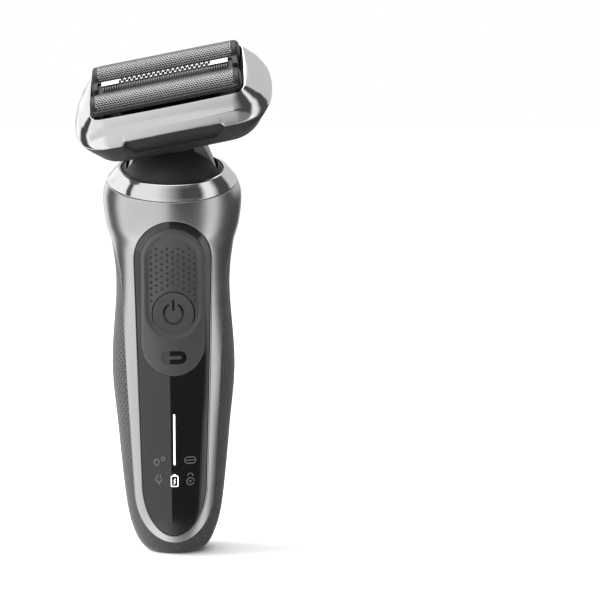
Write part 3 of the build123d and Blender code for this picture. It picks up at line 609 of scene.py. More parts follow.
def make_front_shell():
    """The satin silver shell: rounded edges outside and along the panel, and the neck's full width."""
    rings = [on_handle(*silver_loop(-aside).T, depth) for aside, depth in edge_steps()]
    inner = np.stack(from_front(*panel_loop(0.42).T), -1)
    for loop in between_loops(silver_loop(-0.36), inner, 22)[1:]:
        rings.append(on_handle(*loop.T))
    for aside, depth in reversed(edge_steps()):
        rings.append(front_points(*panel_loop(0.05 + aside).T, depth))
    piece = rings_piece("silver_shell", rings, silver, "handle")
    stand_for("front_shell")


def make_neck_ring():
    """The chrome collar: its outside, a rounded rim, and the lip inside."""
    around = np.linspace(-math.pi, math.pi, 241)[:-1]
    profile = np.array([
        (SEAM + 0.1, 18.9, 17.8), (SEAM + 0.1, 20.0, 18.9), (SEAM + 0.14, 20.2, 19.1),
        (SEAM + 0.3, 20.2, 19.1), (-3.2, 19.5, 18.35), (-2.2, 18.72, 17.5), (-1.2, 17.88, 16.65),
        (-0.5, 17.25, 16.0), (-0.15, 16.92, 15.66), (0.0, 16.66, 15.4), (0.03, 16.42, 15.16),
        (-0.05, 16.2, 14.92), (-0.3, 16.05, 14.75), (-1.6, 16.02, 14.72),
    ])
    rows = np.vstack([profile[:3], smooth_line(profile[3:], 60)])
    rings = [NECK_ORIGIN + NECK_RISE * height - NECK_BACK * (half_depth * np.cos(around))[:, None]
             + np.array([1.0, 0, 0]) * (half_width * np.sin(around))[:, None]
             for height, half_width, half_depth in rows]
    piece = rings_piece("neck_collar", rings, plating, "handle")
    stand_for("neck_ring")


def make_panel():
    """The glossy black panel round the button pad, down to its foot."""
    rings = [front_points(*panel_loop(-0.05 - aside * 0.5).T, 0.25 + depth * 0.7)
             for aside, depth in edge_steps()]
    outer, inner = panel_loop(-0.23), pill_loop(PAD_CENTRE, PAD_HALF_WIDTH, PAD_LENGTH + 0.1, 0.05)
    rings += [front_points(*loop.T, 0.25) for loop in between_loops(outer, inner, 40)[1:]]
    rings.append(front_points(*inner.T, 1.6))
    piece = rings_piece("gloss_panel", rings, lacquer, "handle")
    stand_for("front_panel")


PIT_DEPTH, PIT_RADIUS = 0.32, 0.36


def pits(x, z):
    """How deep the staggered dimples are at each point, from 0 to 1: nine columns above the power button."""
    column = np.round(x / DIMPLE_ACROSS)
    shift = np.where(np.mod(column, 2) == 0, 0.0, DIMPLE_UP)
    row = np.round((z - 81.0 - shift) / (2 * DIMPLE_UP))
    aside, above = x - column * DIMPLE_ACROSS, z - 81.0 - shift - row * 2 * DIMPLE_UP
    centre_z = 81.0 + shift + row * 2 * DIMPLE_UP
    centre_x = column * DIMPLE_ACROSS
    clear = np.hypot(centre_x, centre_z - POWER_Z) > POWER_RADIUS + 1.0
    inside = (np.abs(column) <= 4) & clear & (centre_z < 97.5) & (centre_z > 78.5)
    distance = np.hypot(aside, above)
    return np.where(inside, np.clip(1.25 - distance / PIT_RADIUS, 0, 1) ** 0.8, 0.0)


def make_pad():
    """The grey pad: a rounded rim, a shallow dish with dimples, and the hole for the power button."""
    outline = lambda grow: pill_loop(PAD_CENTRE, PAD_HALF_WIDTH, PAD_LENGTH + 2 * grow, grow)
    dish = lambda grow: pill_loop(DISH_CENTRE, DISH_HALF_WIDTH, DISH_LENGTH + 2 * grow, grow)
    flat = -0.18
    steps = [(outline(0.0), 1.5), (outline(0.0), 0.22), (outline(-0.04), 0.06), (outline(-0.14), -0.05),
             (outline(-0.30), -0.12), (outline(-0.55), flat + 0.02), (outline(-0.8), flat)]
    steps += [(outline(-0.8) + (dish(0.12) - outline(-0.8)) * part, flat) for part in (0.25, 0.5, 0.75, 1.0)]
    steps += [(dish(-inward), depth)
              for inward, depth in ((0.0, -0.13), (0.16, 0.0), (0.45, 0.3), (0.7, 0.5), (0.85, 0.57))]
    floor, hole = dish(-1.0), circle_loop((0, POWER_Z), POWER_RADIUS + 0.03)
    floor_parts = 130
    steps += [(loop, DISH_DEPTH) for loop in between_loops(floor, hole, floor_parts)]
    steps.append((circle_loop((0, POWER_Z), POWER_RADIUS + 0.6), 1.6))
    rings, pit_shade = [], []
    for loop, depth in steps:
        deep = pits(loop[:, 0], loop[:, 1]) if depth == DISH_DEPTH else np.zeros(len(loop))
        rings.append(front_points(loop[:, 0], loop[:, 1], depth + deep * PIT_DEPTH))
        pit_shade.append(deep)
    piece = rings_piece("dimpled_pad", rings, pad_plastic, "handle")
    # the dimple depths are stored as the mask for the painted shade in the pad's pits
    values = piece.data.attributes.new("pit_shade", "FLOAT", "POINT")
    values.data.foreach_set("value", np.concatenate(pit_shade).astype(np.float32))
    stand_for("button_pad")


def button_depth(x, z):
    """How far the power button's hollow face lies under the handle's form."""
    out = np.hypot(x, z - POWER_Z) / POWER_RADIUS
    return DISH_DEPTH + 0.02 + 0.95 * (1 - np.clip(out, 0, 1) ** 2) * (1 - 0.15 * out)


def make_power_button():
    """The round hollow power button."""
    around = np.radians(np.linspace(0, 360, 129)[:-1])
    rings = []
    edge = [(6.7, 1.4), (6.7, 0.16), (6.66, 0.05), (6.58, 0.0)]
    for radius, drop in edge + [(radius, 0.0) for radius in np.linspace(6.5, 0.12, 26)]:
        x, z = radius * np.sin(around), POWER_Z + radius * np.cos(around)
        rings.append(front_points(x, z, button_depth(x, z) + drop))
    piece = rings_piece("power_key", rings, key_plastic, "power_key", cap_end=True)
    stand_for("power_button")


def ribbon(path, width, closed=False):
    """The left and right edges of a stroke of that width along a path in x and z."""
    path = np.asarray(path, float)
    if closed:
        ahead, behind = np.roll(path, -1, axis=0), np.roll(path, 1, axis=0)
    else:
        ahead, behind = np.vstack([path[1:], path[-1:]]), np.vstack([path[:1], path[:-1]])
    run = ahead - behind
    run /= np.linalg.norm(run, axis=1)[:, None]
    side = np.stack([-run[:, 1], run[:, 0]], -1) * width / 2
    return path + side, path - side


def make_strokes(name, paths, width, material, body, depth_at, proud=0.03):
    """Thin raised strokes on the handle's front: each path is (points, closed)."""
    points, faces = [], []
    for path, closed in paths:
        left, right = ribbon(path, width, closed)
        stations = [(left, 0.0), (left, -proud), (right, -proud), (right, 0.0)]
        start, size = len(points), len(path)
        for edge, lift in stations:
            points.extend(front_points(edge[:, 0], edge[:, 1], depth_at(edge[:, 0], edge[:, 1]) + lift))
        faces += ring_faces(4, size, closed, start)
        if not closed:
            for end in (0, size - 1):
                faces.append(tuple(start + station * size + end for station in range(4)))
    return make_piece(name, np.array(points), faces, material, body)


def capsule(centre, half_length, radius, count=24):
    """A closed slot outline in x and z."""
    right = arc((half_length - radius, 0), radius, radius, -90, 90, count)
    left = arc((radius - half_length, 0), radius, radius, 90, 270, count)
    outline = np.vstack([right, left, right[:1]])
    return resample(outline, 97)[:-1] + centre


LOCK_Z = 63.6
LIGHT_FOOT, LIGHT_TOP, LIGHT_HALF_WIDTH = 29.2, 46.1, 0.3
PANEL_DEPTH = 0.25


def flush(x, _z):
    """The panel's face, as a depth under the handle's form."""
    return np.full(np.shape(x), PANEL_DEPTH)


def on_pad(x, _z):
    """The pad's face, which stands a little proud."""
    return np.full(np.shape(x), -0.17)


def make_marks():
    """The inlaid power symbol and lock mark, the lit bar, and the panel's generic pictograms."""
    ring = arc((0, POWER_Z), 3.15, 3.15, 90 + 28, 90 + 332, 64)
    bar = resample([(0, POWER_Z + 4.3), (0, POWER_Z + 0.9)], 10)
    paths = [(ring, False), (bar, False)]
    symbol = make_strokes("power_sign", paths, 0.7, lacquer, "power_key", button_depth, 0.02)
    stand_for("power_symbol")

    band = capsule((0, LOCK_Z), 3.2, 1.27)
    lock = make_strokes("lock_sign", [(band, True)], 1.5, lacquer, "handle", on_pad, 0.03)
    stand_for("lock_mark")

    bar = resample([(0, LIGHT_FOOT + 0.4), (0, LIGHT_TOP - 0.4)], 40)
    guide = make_strokes("lit_bar", [(bar, False)], 2 * LIGHT_HALF_WIDTH, glow(), "handle", flush, 0.03)
    stand_for("light_bar")

    corners = [(-1.05, 22.7), (1.05, 22.7), (1.05, 26.0), (-1.05, 26.0), (-1.05, 22.7)]
    case = resample(corners, 49)[:-1]
    knob = resample([(-0.45, 26.45), (0.45, 26.45)], 4)
    bolt = resample([(0.22, 25.2), (-0.25, 24.3), (0.25, 24.25), (-0.22, 23.4)], 12)
    paths = [(case, True), (knob, False), (bolt, False)]
    battery = make_strokes("battery_sign", paths, 0.27, glow(), "handle", flush)

    pill = capsule((5.0, 31.0), 1.75, 1.0)
    divide = resample([(3.7, 31.0), (6.3, 31.0)], 6)
    shackle = arc((5.0, 25.9), 0.8, 0.9, 0, 180, 16)
    padlock = arc((5.0, 24.2), 1.15, 1.15, 0, 345, 24)
    dot = arc((5.0, 24.2), 0.25, 0.25, 0, 330, 8)
    drop = arc((-5.6, 30.4), 0.75, 0.95, 0, 345, 20)
    small_drop = arc((-3.6, 31.6), 0.5, 0.6, 0, 345, 16)
    plug = arc((-5.0, 25.2), 1.0, 1.2, 180, 360, 14)
    prongs = [resample([(x, 25.3), (x, 26.5)], 4) for x in (-5.5, -4.5)]
    tail = resample([(-5.0, 23.9), (-5.0, 23.1)], 4)
    paths = [(pill, True), (divide, False), (shackle, False), (padlock, False), (dot, False), (drop, False),
             (small_drop, False), (plug, False), (tail, False)] + [(prong, False) for prong in prongs]
    faint = make_strokes("faint_signs", paths, 0.26, print_ink("faint_ink", 0.16), "handle", flush, 0.02)


make_grip()
make_front_shell()
make_neck_ring()
make_panel()
make_pad()
make_power_button()
make_marks()

# ---------------------------------------------------------------- the head's own frame
joints = {joint["name"]: joint for joint in frame["joints"]}
FLEX = Vector(joints["head_roll"]["pos_m"]) / MM
ALONG = Vector(joints["bridge_stroke"]["axis"]).normalized()
DEPTH = Vector(joints["head_roll"]["axis"]).normalized()
UP = Vector(joints["cassette_lift"]["axis"]).normalized()
FLEX_DROP = 6.4
HEAD = FLEX + UP * FLEX_DROP
HEAD_AXES = np.array([ALONG, DEPTH, UP])


def head_points(local):
    """Points given along the head, front to back and upwards from its rim, moved to where the head is."""
    return np.asarray(local, float) @ HEAD_AXES + np.array(HEAD)


def head_rings(name, rings, material, body, **options):
    return rings_piece(name, [head_points(ring) for ring in rings], material, body, **options)


def rim(half_length, half_depth, bulge, corner, bow=0.0):
    """A plan of the head: long sides, bowed ends, round corners. Points match between sizes."""
    square = half_length - bulge
    sagitta_radius = (half_depth ** 2 + bulge ** 2) / (2 * bulge)
    end_angle = math.degrees(math.asin(half_depth / sagitta_radius))
    end_centre = half_length - sagitta_radius
    straight = resample([(0, half_depth), (square - corner, half_depth)], 70)
    end = arc((end_centre, 0), sagitta_radius, sagitta_radius, 0, end_angle, 60)
    inside = end[end[:, 1] < half_depth - corner]
    knee = np.array([(square, half_depth)])
    start, stop = straight[-1], inside[-1]
    parts = np.linspace(0, 1, 26)[:, None]
    pull = 0.62 * 1.6  # how far the corner reaches towards its knee
    curve = (start * (1 - parts) ** 2 + 2 * pull * knee * parts * (1 - parts) + stop * parts ** 2) / (
        (1 - parts) ** 2 + 2 * pull * parts * (1 - parts) + parts ** 2)
    quarter = np.vstack([straight[:-1], curve[:-1], resample(inside[::-1], 30)])
    quarter[:, 1] -= bow * (quarter[:, 0] / half_length) ** 2 * (quarter[:, 1] / half_depth)
    back = quarter[::-1]
    return np.vstack([quarter, back[1:] * (1, -1), quarter[1:] * (-1, -1), back[1:-1] * (-1, 1)])


def at_level(outline, level):
    level = np.broadcast_to(np.asarray(level, float), (len(outline),))
    return np.column_stack([outline, level])


def ramped(value, low, high):
    """0 below low, 1 above high, smooth between."""
    part = np.clip((value - low) / (high - low), 0, 1)
    return part * part * (3 - 2 * part)


PARTING = -8.7
NOTCH_HALF, NOTCH_RISE = 15.4, 1.5


def parting_level(outline):
    """The parting line between silver and dark, with the notch over the thumb recess."""
    x, y = outline[:, 0], outline[:, 1]
    notch = ramped(-np.abs(x), -NOTCH_HALF - 0.5, -NOTCH_HALF + 1.0) * (y < -8)
    return PARTING + NOTCH_RISE * notch


BOW = 0.5  # how far the head's long sides curve in towards its ends


def head_rim(*size):
    return rim(*size, bow=BOW)


def make_bezel():
    """The chrome bezel: a lip round the foils, a broad bevel, a crease and a full flank."""
    profile = [
        ((23.8, 13.54, 0.3, 3.4), -3.2), ((23.76, 13.51, 0.3, 3.4), -0.35), ((23.8, 13.54, 0.31, 3.42), -0.1),
        ((23.95, 13.65, 0.35, 3.5), 0.02), ((24.15, 13.82, 0.45, 3.7), 0.0), ((24.6, 14.1, 0.7, 4.1), -0.25),
        ((25.5, 14.75, 1.2, 5.0), -1.0), ((26.7, 15.5, 1.7, 5.6), -2.1), ((27.7, 16.2, 2.15, 6.1), -3.3),
        ((28.15, 16.48, 2.35, 6.3), -3.75), ((28.4, 16.6, 2.45, 6.5), -3.95),
        ((28.75, 16.72, 2.5, 6.6), -4.3), ((29.6, 16.95, 2.7, 7.0), -5.6),
        ((30.4, 17.08, 2.9, 7.5), -7.0), ((30.85, 17.1, 3.0, 7.9), -8.1),
    ]
    rings = [at_level(head_rim(*size), level) for size, level in profile]
    base = head_rim(30.95, 17.05, 3.0, 8.0)
    foot = parting_level(base)
    rings[-1] = at_level(head_rim(*profile[-1][0]), np.maximum(profile[-1][1], foot + 0.35))
    rings[-2] = at_level(head_rim(*profile[-2][0]), np.maximum(profile[-2][1], foot + 0.7))
    rings.append(at_level(base, foot + 0.12))
    rings.append(at_level(head_rim(30.9, 17.0, 3.0, 8.0), foot + 0.02))
    rings.append(at_level(head_rim(30.6, 16.8, 3.0, 7.9), foot))
    rings.append(at_level(head_rim(29.4, 15.6, 2.8, 7.0), foot))
    rings.append(at_level(head_rim(28.6, 15.3, 2.6, 6.6), -5.0))
    piece = head_rings("chrome_bezel", rings, plating, "cassette", join=True)
    stand_for("bezel")


HEAD_BOTTOM = -16.2
FLAT_HALF, END_HALF, END_LEVEL = 16.0, 31.4, -7.9


def underside(x):
    """The base's lower edge: flat in the middle, then a quarter ellipse up to the ends."""
    out = np.clip((np.abs(x) - FLAT_HALF) / (END_HALF - FLAT_HALF), 0, 1)
    return END_LEVEL + (HEAD_BOTTOM - END_LEVEL) * np.sqrt(1 - out ** 2)


def recess(x, y, level):
    """How deep the thumb recess in the front is at each point."""
    side = 15.2 - (-9.2 - level) * 0.65
    across = ramped(-np.abs(x), -side - 0.35, -side + 0.35)
    up = ramped(level, -13.0, -12.5) * ramped(-level, 7.0, 7.35)
    return 0.95 * across * up * (y < -8)


def make_head_base():
    """The dark base under the bezel, with rounded lower ends, a thumb recess and the well underneath."""
    rings = []
    top = head_rim(30.75, 16.9, 3.0, 7.9)
    rings.append(at_level(head_rim(29.2, 15.6, 2.8, 7.0), parting_level(top) - 0.05))
    for part in np.linspace(0, 1, 46):
        size = (30.75 - 3.0 * part ** 1.6, 16.9 - 2.1 * part ** 1.5, 3.0, 7.9 - 0.8 * part)
        outline = head_rim(*size)
        high = parting_level(outline) - 0.05
        low = np.minimum(underside(outline[:, 0]) + 0.9, high - 0.05)
        level = high + (low - high) * part
        inward = outline.copy()
        inward[:, 1] += recess(outline[:, 0], outline[:, 1], level)
        rings.append(at_level(inward, level))
    for inset, rise in ((0.15, 0.5), (0.45, 0.2), (0.9, 0.03), (1.4, 0.0)):
        outline = head_rim(27.75 - inset, 14.8 - inset, 3.0, 7.1)
        low = np.minimum(underside(outline[:, 0]) + rise, parting_level(outline) - 0.12)
        rings.append(at_level(outline, low))
    well = rim(13.5, 7.0, 0.12, 0.8)
    wide = rings[-1][:, :2]
    for part in np.linspace(0.15, 1, 8):
        outline = wide + (well - wide) * part
        rings.append(at_level(outline, underside(outline[:, 0])))
    rings.append(at_level(well, -2.4))
    rings.append(at_level(rim(14.7, 10.3, 0.12, 1.5), -2.4))
    rings.append(at_level(rim(14.7, 10.3, 0.12, 1.5), -9.0))
    piece = head_rings("dark_base", rings, black_plastic, "head_base", join=True)
    stand_for("head_base")


FOIL_PITCH, FOIL_BASE = 7.8, 1.0
FOIL_HALF_WIDTH, FOIL_HEIGHT = 4.0, 3.0
FRONT_FOIL_HALF_LENGTH, REAR_FOIL_HALF_LENGTH = 21.2, 20.9
HOLE_PITCH = 0.78


def arch(part, inset=0.0):
    """A point of the foil's arch: part runs from 0 at the front foot to 1 at the rear foot."""
    angle = np.asarray(part) * math.pi
    return (-(FOIL_HALF_WIDTH - inset) * np.cos(angle), FOIL_BASE + (FOIL_HEIGHT - inset) * np.sin(angle))


def arch_length():
    y, z = arch(np.linspace(0, 1, 400))
    return float(np.sum(np.hypot(np.diff(y), np.diff(z))))


def even_arch(distance):
    """Where on the arch a distance measured along it falls, as (y, z)."""
    parts = np.linspace(0, 1, 400)
    y, z = arch(parts)
    run = np.concatenate([[0], np.cumsum(np.hypot(np.diff(y), np.diff(z)))])
    part = np.interp(distance, run, parts)
    return arch(part)


def make_foil(name, node, body, centre, half_length):
    """A steel foil pierced with rows of holes: round in front and drawn out to slots over the crest."""
    total = arch_length()
    rows = int(total / (HOLE_PITCH * 0.87))
    row_pitch = total / rows
    columns = int(2 * half_length / HOLE_PITCH)
    pitch = 2 * half_length / columns
    corners = 12
    angles = np.radians(np.arange(corners) * 360 / corners + 15)
    points, faces, index = [], [], {}

    def vertex(u, s):
        key = (round(u, 4), round(s, 4))
        if key not in index:
            index[key] = len(points)
            y, z = even_arch(np.clip(s, 0, total))
            points.append((u, float(y) + centre, float(z)))
        return index[key]

    for row in range(rows):
        shift = 0.5 * pitch * (row % 2)
        low, high = row * row_pitch, (row + 1) * row_pitch
        edge_row = row in (0, rows - 1)
        slots = 0.42 < (row + 0.5) / rows < 0.8
        for column in range(columns + row % 2):
            left = max(-half_length + column * pitch - shift, -half_length)
            right = min(-half_length + (column + 1) * pitch - shift, half_length)
            if right - left < 0.9 * pitch or edge_row:
                corner = [vertex(left, low), vertex((left + right) / 2, low), vertex(right, low),
                          vertex(right, high), vertex((left + right) / 2, high), vertex(left, high)]
                faces.append(corner)
                continue
            middle = ((left + right) / 2, (low + high) / 2)
            hole_across = pitch * (0.31 if slots else 0.39)
            hole_up = row_pitch * (0.44 if slots else 0.41)
            hole = []
            for angle in angles:
                hole.append(len(points))
                y, z = even_arch(middle[1] + hole_up * math.sin(angle))
                points.append((middle[0] + hole_across * math.cos(angle), float(y) + centre, float(z)))
            outline = [vertex(right, high), vertex((left + right) / 2, high), vertex(left, high),
                       vertex(left, low), vertex((left + right) / 2, low), vertex(right, low)]
            bounds = [int(round((degree - 15) / 30)) % corners for degree in (45, 90, 135, 225, 270, 315)]
            for place in range(6):
                start, stop = bounds[place], bounds[(place + 1) % 6]
                step, run = start, [hole[start]]
                while step != stop:
                    step = (step + 1) % corners
                    run.append(hole[step])
                faces.append([outline[place], *run, outline[(place + 1) % 6]][::-1])
    piece = make_piece(name, head_points(points), faces, foil_steel, body, sharp=60)
    thick = piece.modifiers.new("thickness", "SOLIDIFY")
    thick.thickness = 0.08 * MM
    thick.offset = -1
    stand_for(node)


foil_steel = steel("foil_steel", 0.42, 0.2)
blade_steel = steel("blade_steel", 0.70, 0.16, (0.15, 1, 1))
dark_steel = steel("dark_steel", 0.10, 0.4)
frame_plastic = dark_plastic("frame_plastic", 0.008, 0.34)

FRAME_HALF_LENGTH, FRAME_HALF_WIDTH = 23.2, 4.95


def make_foil_frame(name, node, body, centre, half_length):
    """The black frame round a foil: rails with a rounded top and full rounded end caps."""
    outer_corner = 2.2
    profile = [(0.0, 0.85), (0.0, 1.8), (0.08, 2.0), (0.3, 2.08),
               (0.66, 2.08), (0.86, 1.98), (0.94, 1.7), (0.95, 0.85)]
    rings = []
    for inset, level in profile:
        corner = outer_corner - inset * 0.8
        outline = rim(FRAME_HALF_LENGTH - inset * 2.0, FRAME_HALF_WIDTH - inset, 0.5, corner)
        rings.append(at_level(outline + (0, centre), level))
    rails = head_rings(name, rings, frame_plastic, body, join=True)
    for side in (-1, 1):
        across = np.radians(np.linspace(0, 180, 33))
        stations = [(half_length - 0.25, 0.02), (half_length + 0.35, 0.12), (half_length + 0.9, 0.16),
                    (half_length + 1.4, 0.05), (half_length + 1.75, -0.35), (half_length + 1.92, -0.9),
                    (half_length + 1.98, -1.6)]
        cap_rings = []
        for place, grow in stations:
            width, height = FOIL_HALF_WIDTH + 0.12 + grow, FOIL_HEIGHT - 0.30 + grow
            y = centre - width * np.cos(across)
            z = FOIL_BASE + height * np.sin(across)
            foot = np.array([(side * place, centre + width, -1.1), (side * place, centre - width, -1.1)])
            cap_rings.append(np.vstack([np.column_stack([np.full(33, side * place), y, z]), foot]))
        cap = head_rings(f"{name}_cap_{'left' if side < 0 else 'right'}", cap_rings, frame_plastic, body,
                         cap_start=True, cap_end=True)
    stand_for(node)


TRIMMER_HALF_LENGTH, WAVE_HALF_LENGTH = 20.8, 19.6
TOOTH_COUNT, TOOTH_PITCH = 19, 1.5
TOOTH_SPAN = TOOTH_COUNT * TOOTH_PITCH


def make_trimmer():
    """The trimmer: a silver bar that waves through its middle, and a dark slotted comb in front of it."""
    half_bar, wave = 1.1, 0.8
    along = np.concatenate([np.linspace(-WAVE_HALF_LENGTH, -TOOTH_SPAN / 2, 12)[:-1],
                            np.linspace(-TOOTH_SPAN / 2, TOOTH_SPAN / 2, TOOTH_COUNT * 24 + 1),
                            np.linspace(TOOTH_SPAN / 2, WAVE_HALF_LENGTH, 12)[1:]])
    inside = np.abs(along) < TOOTH_SPAN / 2
    phase = (along + TOOTH_SPAN / 2) / TOOTH_PITCH * 2 * math.pi
    swing = np.where(inside, np.tanh(2.2 * np.sin(phase)) / math.tanh(2.2) * wave, 0.0)
    narrow = np.where(inside, 0.3, half_bar)
    middle_y, foot, top = 0.8, 2.2, 3.0
    low_y, high_y = middle_y + swing - narrow, middle_y + swing + narrow
    rings = []
    for y, z in ((low_y, foot), (low_y, top - 0.06), (low_y + 0.06, top), (high_y - 0.06, top),
                 (high_y, top - 0.06), (high_y, foot)):
        rings.append(np.column_stack([along, y, np.full(len(along), z)]))
    size = len(along)
    faces = ring_faces(6, size, closed=False)
    faces += [tuple(station * size + end for station in range(6)) for end in (0, size - 1)]
    faces += [(step, step + 1, 5 * size + step + 1, 5 * size + step) for step in range(size - 1)]
    blade = make_piece("wave_blade", head_points(np.concatenate(rings)), faces, blade_steel, "trimmer_cutter")
    stand_for("trimmer_blade")

    points, faces = [], []
    slot_pitch = 0.75
    count = int(2 * (TRIMMER_HALF_LENGTH - 1.2) / slot_pitch)
    section_yz = [(-1.9, 0.95), (-1.9, 1.7), (-1.7, 2.1), (-1.2, 2.45), (-0.6, 2.55), (-0.6, 0.95)]
    for step in range(count):
        place = (step - (count - 1) / 2) * slot_pitch
        start = len(points)
        for x in (place - 0.21, place + 0.21):
            points.extend((x, y, z) for y, z in section_yz)
        size = len(section_yz)
        faces.append(tuple(range(start, start + size)))
        faces.append(tuple(range(start + size, start + 2 * size)))
        faces += [(start + k, start + (k + 1) % size, start + size + (k + 1) % size, start + size + k)
                  for k in range(size)]
    comb = make_piece("trimmer_comb", head_points(points), faces, comb_steel, "trimmer")
    stand_for("trimmer_guard")

    profile = [(0.0, 0.85), (0.0, 1.45), (0.1, 1.6), (0.3, 1.65)]
    rings = [at_level(rim(22.6 - inset, 2.6 - inset, 0.3, 0.9 - inset * 0.5), level)
             for inset, level in profile]
    rings.append(at_level(rim(21.0, 0.4, 0.05, 0.15), 1.65))
    base = head_rings("trimmer_carrier", rings, frame_plastic, "trimmer", cap_start=True, cap_end=True)
    stand_for("trimmer_frame")
    for side in (-1, 1):
        cap = []
        for place, grow in ((20.9, -0.1), (21.1, 0.0), (21.9, 0.02), (22.4, -0.12), (22.62, -0.5)):
            outline = np.array([(-1.9 - grow, 0.9), (-1.9 - grow, 1.9 + grow), (-1.4, 2.75 + grow),
                                (0.1, 3.1 + grow), (1.5, 3.1 + grow), (2.0 + grow, 2.7), (2.1 + grow, 0.9)])
            cap.append(np.column_stack([np.full(len(outline), side * place), outline]))
        end = head_rings(f"trimmer_cap_{'left' if side < 0 else 'right'}", cap, frame_plastic, "trimmer",
                         cap_start=True, cap_end=True)


comb_steel = steel("comb_steel", 0.16, 0.3)

make_bezel()
make_head_base()
for side, centre, half_length in (("front", -FOIL_PITCH, FRONT_FOIL_HALF_LENGTH),
                                  ("rear", FOIL_PITCH, REAR_FOIL_HALF_LENGTH)):
    make_foil(f"{side}_pierced_foil", f"{side}_foil", f"{side}_shaver", centre, half_length)
    make_foil_frame(f"{side}_frame", f"{side}_foil_frame", f"{side}_shaver", centre, half_length)
make_trimmer()


def make_struts():
    """The polished strut along the outside of each of the yoke's arms."""
    turn = np.radians(np.linspace(0, 360, 25)[:-1])
    for side in (-1, 1):
        path = smooth_line([(13.7, -2.6), (13.1, 0.9), (11.9, 4.2), (10.75, 6.9), (10.15, 8.3)], 30)
        rings = []
        for place, (x, z) in enumerate(path):
            size = 0.62 * math.sin(math.pi * min(1, (place + 0.6) / 2.5) / 2) * min(1, (29.6 - place) / 3)
            x_ring = side * (x - 0.15 + size * np.cos(turn))
            middle = NECK_ORIGIN + NECK_RISE * z - NECK_BACK * 2.75
            backward = np.outer(size * 0.75 * np.sin(turn), NECK_BACK)
            rings.append(middle + backward + np.outer(x_ring, (1.0, 0, 0)))
        strut = rings_piece(f"yoke_strut_{'left' if side < 0 else 'right'}", rings, silver, "handle",
                            cap_start=True, cap_end=True)


make_struts()


# ---------------------------------------------------------------- CAD nodes that stay as they are
def finish_node(material, *names):
    for name in names:
        node = frame["nodes"][name]
        node.data.materials.clear()
        node.data.materials.append(material)
        for polygon in node.data.polygons:
            polygon.material_index = 0


finish_node(dark_plastic("yoke_plastic", 0.06, 0.3), "yoke")
finish_node(dark_plastic("dome_plastic", 0.02, 0.42), "neck_dome")
finish_node(black_plastic, "gimbal", "charging_socket", "cassette_frame", "drive_bridge",
            "front_cutter_block", "rear_cutter_block")
finish_node(key_plastic, "release_button")
finish_node(dark_steel, "front_cutter_blades", "rear_cutter_blades")
finish_node(blade_steel, "drive_lever", "lever_pin", "pitch_pins", "roll_pins", "motor_screws", "motor_shaft")
finish_node(dark_plastic("seal_rubber", 0.02, 0.6), "neck_gasket")
finish_node(plain("inner_plastic", (0.42, 0.43, 0.45), (0.50, 0.51, 0.53)),
            "inner_frame", "motor_mount", "eccentric")
finish_node(plain("cell_wrap", (0.02, 0.16, 0.11), (0.03, 0.22, 0.15), 0.25), "battery_cell")
finish_node(plain("contact_metal", (0.72, 0.52, 0.22), (0.82, 0.62, 0.30), 0.2, 1.0),
            "battery_tabs", "contact_pins", "motor_bush")
finish_node(plain("solder_mask", (0.01, 0.10, 0.04), (0.015, 0.14, 0.06), 0.3), "circuit_board")
finish_node(dark_plastic("chip_plastic", 0.02, 0.5), "board_chips", "tact_switch")
finish_node(plain("led_body", (0.75, 0.74, 0.62), (0.85, 0.84, 0.74), 0.3), "status_lights")
finish_node(steel("motor_steel", 0.5, 0.28, (1, 1, 0.1)), "motor_can")


# ---------------------------------------------------------------- floor, light and world
FLOOR_HALF = 4.0  # metres


def make_stage():
    """A plain pale floor. What shines on the shaver reflects the studio instead of it."""
    n = Nodes("pale_floor")
    n.set(Roughness=0.65)
    n.colour(n.noise(4.0, 2.0), (0.90, 0.90, 0.90), (0.92, 0.92, 0.92))
    clear = n.add("BsdfTransparent")
    mix = n.add("MixShader")
    n.link(n.add("LightPath").outputs["Is Glossy Ray"], mix.inputs["Fac"])
    n.link(n.shader.outputs[0], mix.inputs[1])
    n.link(clear.outputs[0], mix.inputs[2])
    n.link(mix.outputs[0], n.tree.nodes["Material Output"].inputs["Surface"])
    mesh = bpy.data.meshes.new("floor")
    corners = [(-1, -1), (1, -1), (1, 1), (-1, 1)]
    mesh.from_pydata([(FLOOR_HALF * x, FLOOR_HALF * y, 0) for x, y in corners], [], [(0, 1, 2, 3)])
    mesh.materials.append(n.material)
    floor = bpy.data.objects.new("floor", mesh)
    scene.collection.objects.link(floor)


def add_side_light():
    """A soft light from the left that brings out the grip's left side."""
    data = bpy.data.lights.new("side_light", "AREA")
    data.shape = "RECTANGLE"
    data.size, data.size_y = 0.5, 0.8
    data.energy = 16.0
    light = bpy.data.objects.new("side_light", data)
    scene.collection.objects.link(light)
    light.visible_glossy = False
    turn, lift = math.radians(96), math.radians(14)
    way = Vector((-math.sin(turn) * math.cos(lift), -math.cos(turn) * math.cos(lift), math.sin(lift)))
    light.location = Vector((0, 0, 0.09)) + way * 0.7
    light.rotation_euler = way.to_track_quat("Z", "Y").to_euler()


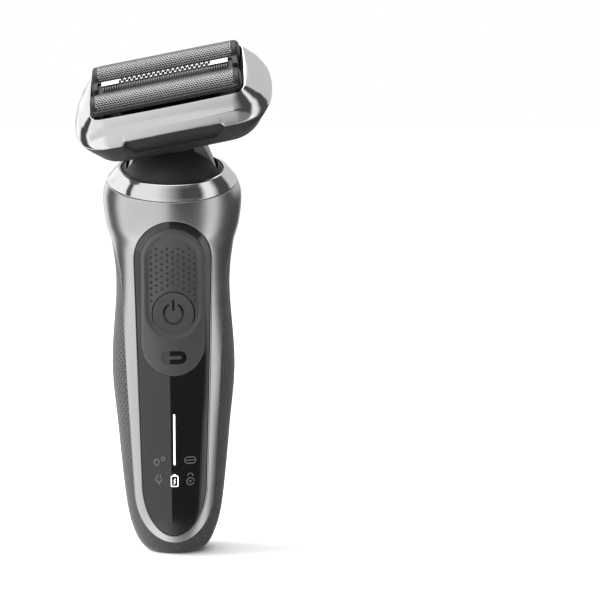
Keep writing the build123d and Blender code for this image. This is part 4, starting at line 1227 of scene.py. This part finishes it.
def make_world():
    """The studio, by direction: a key on the left, a strip on the right, a pale back and two flags."""
    world = bpy.data.worlds.new("studio")
    scene.world = world
    world.use_nodes = True
    n = Nodes("studio", world.node_tree)
    split = n.add("SeparateXYZ")
    n.link(n.add("TexCoord").outputs["Generated"], split.inputs[0])
    x, y, z = split.outputs
    azimuth = n.math("DEGREES", n.math("ARCTAN2", x, n.math("MULTIPLY", y, -1.0)))
    elevation = n.math("DEGREES", n.math("ARCSINE", z))
    aside = n.math("ABSOLUTE", azimuth)

    def band(value, low, low_end, high_start, high):
        """1 between low_end and high_start, and 0 outside low and high."""
        return n.times(n.ramp(value, 0.0, 1.0, low, low_end), n.ramp(value, 1.0, 0.0, high_start, high))

    def below(start, end):
        return n.ramp(elevation, 1.0, 0.0, start, end)

    level = band(elevation, -36.0, -30.0, -5.0, -3.5)
    rest = n.math("SUBTRACT", 1.0, level)
    light = DARK_SIDE
    for strength, mask in (
        (KEY, n.times(band(azimuth, -96.0, -72.0, -6.4, -5.4), level)),
        (HIGH_KEY, n.times(band(azimuth, -96.0, -72.0, -36.0, 22.0), rest, below(45.0, 65.0))),
        (LEFT_BACK, band(azimuth, -165.0, -150.0, -96.0, -72.0)),
        (STRIP, n.times(band(azimuth, 48.0, 62.0, 70.0, 90.0), below(45.0, 60.0))),
        (LOW_FRONT, below(-42.0, -26.0)),
        (BACK, n.ramp(aside, 0.0, 1.0, 146.0, 162.0)),
        (BACK, n.times(band(azimuth, 112.0, 122.0, 146.0, 162.0), n.ramp(elevation, 0.0, 1.0, -2.0, 8.0))),
        (TOP, n.ramp(elevation, 0.0, 1.0, 44.0, 74.0)),
    ):
        light = n.math("ADD", n.times(mask, strength), light)
    for flag in (
        n.times(band(azimuth, -140.0, -128.0, -106.0, -94.0), below(14.0, 26.0)),
        n.times(band(azimuth, -88.0, -84.0, -77.0, -73.0), band(elevation, 4.0, 9.0, 46.0, 56.0)),
    ):
        light = n.times(light, n.math("SUBTRACT", 1.0, n.times(flag, FLAG_DEPTH)))
    back = n.tree.nodes["Background"]
    back.inputs["Color"].default_value = (1.0, 1.0, 1.0, 1.0)
    n.link(light, back.inputs["Strength"])
    plain_back = n.add("Background")
    plain_back.inputs["Color"].default_value = (1.0, 1.0, 1.0, 1.0)
    mix = n.add("MixShader")
    n.link(n.add("LightPath").outputs["Is Camera Ray"], mix.inputs["Fac"])
    n.link(back.outputs[0], mix.inputs[1])
    n.link(plain_back.outputs[0], mix.inputs[2])
    n.link(mix.outputs[0], n.tree.nodes["World Output"].inputs["Surface"])


DARK_SIDE, KEY, HIGH_KEY, LEFT_BACK = 0.07, 0.68, 0.82, 0.95
STRIP, BACK, TOP, LOW_FRONT, FLAG_DEPTH = 0.85, 0.55, 2.75, 0.16, 0.93
make_stage()
make_world()
add_side_light()
scene.view_settings.view_transform = "Standard"
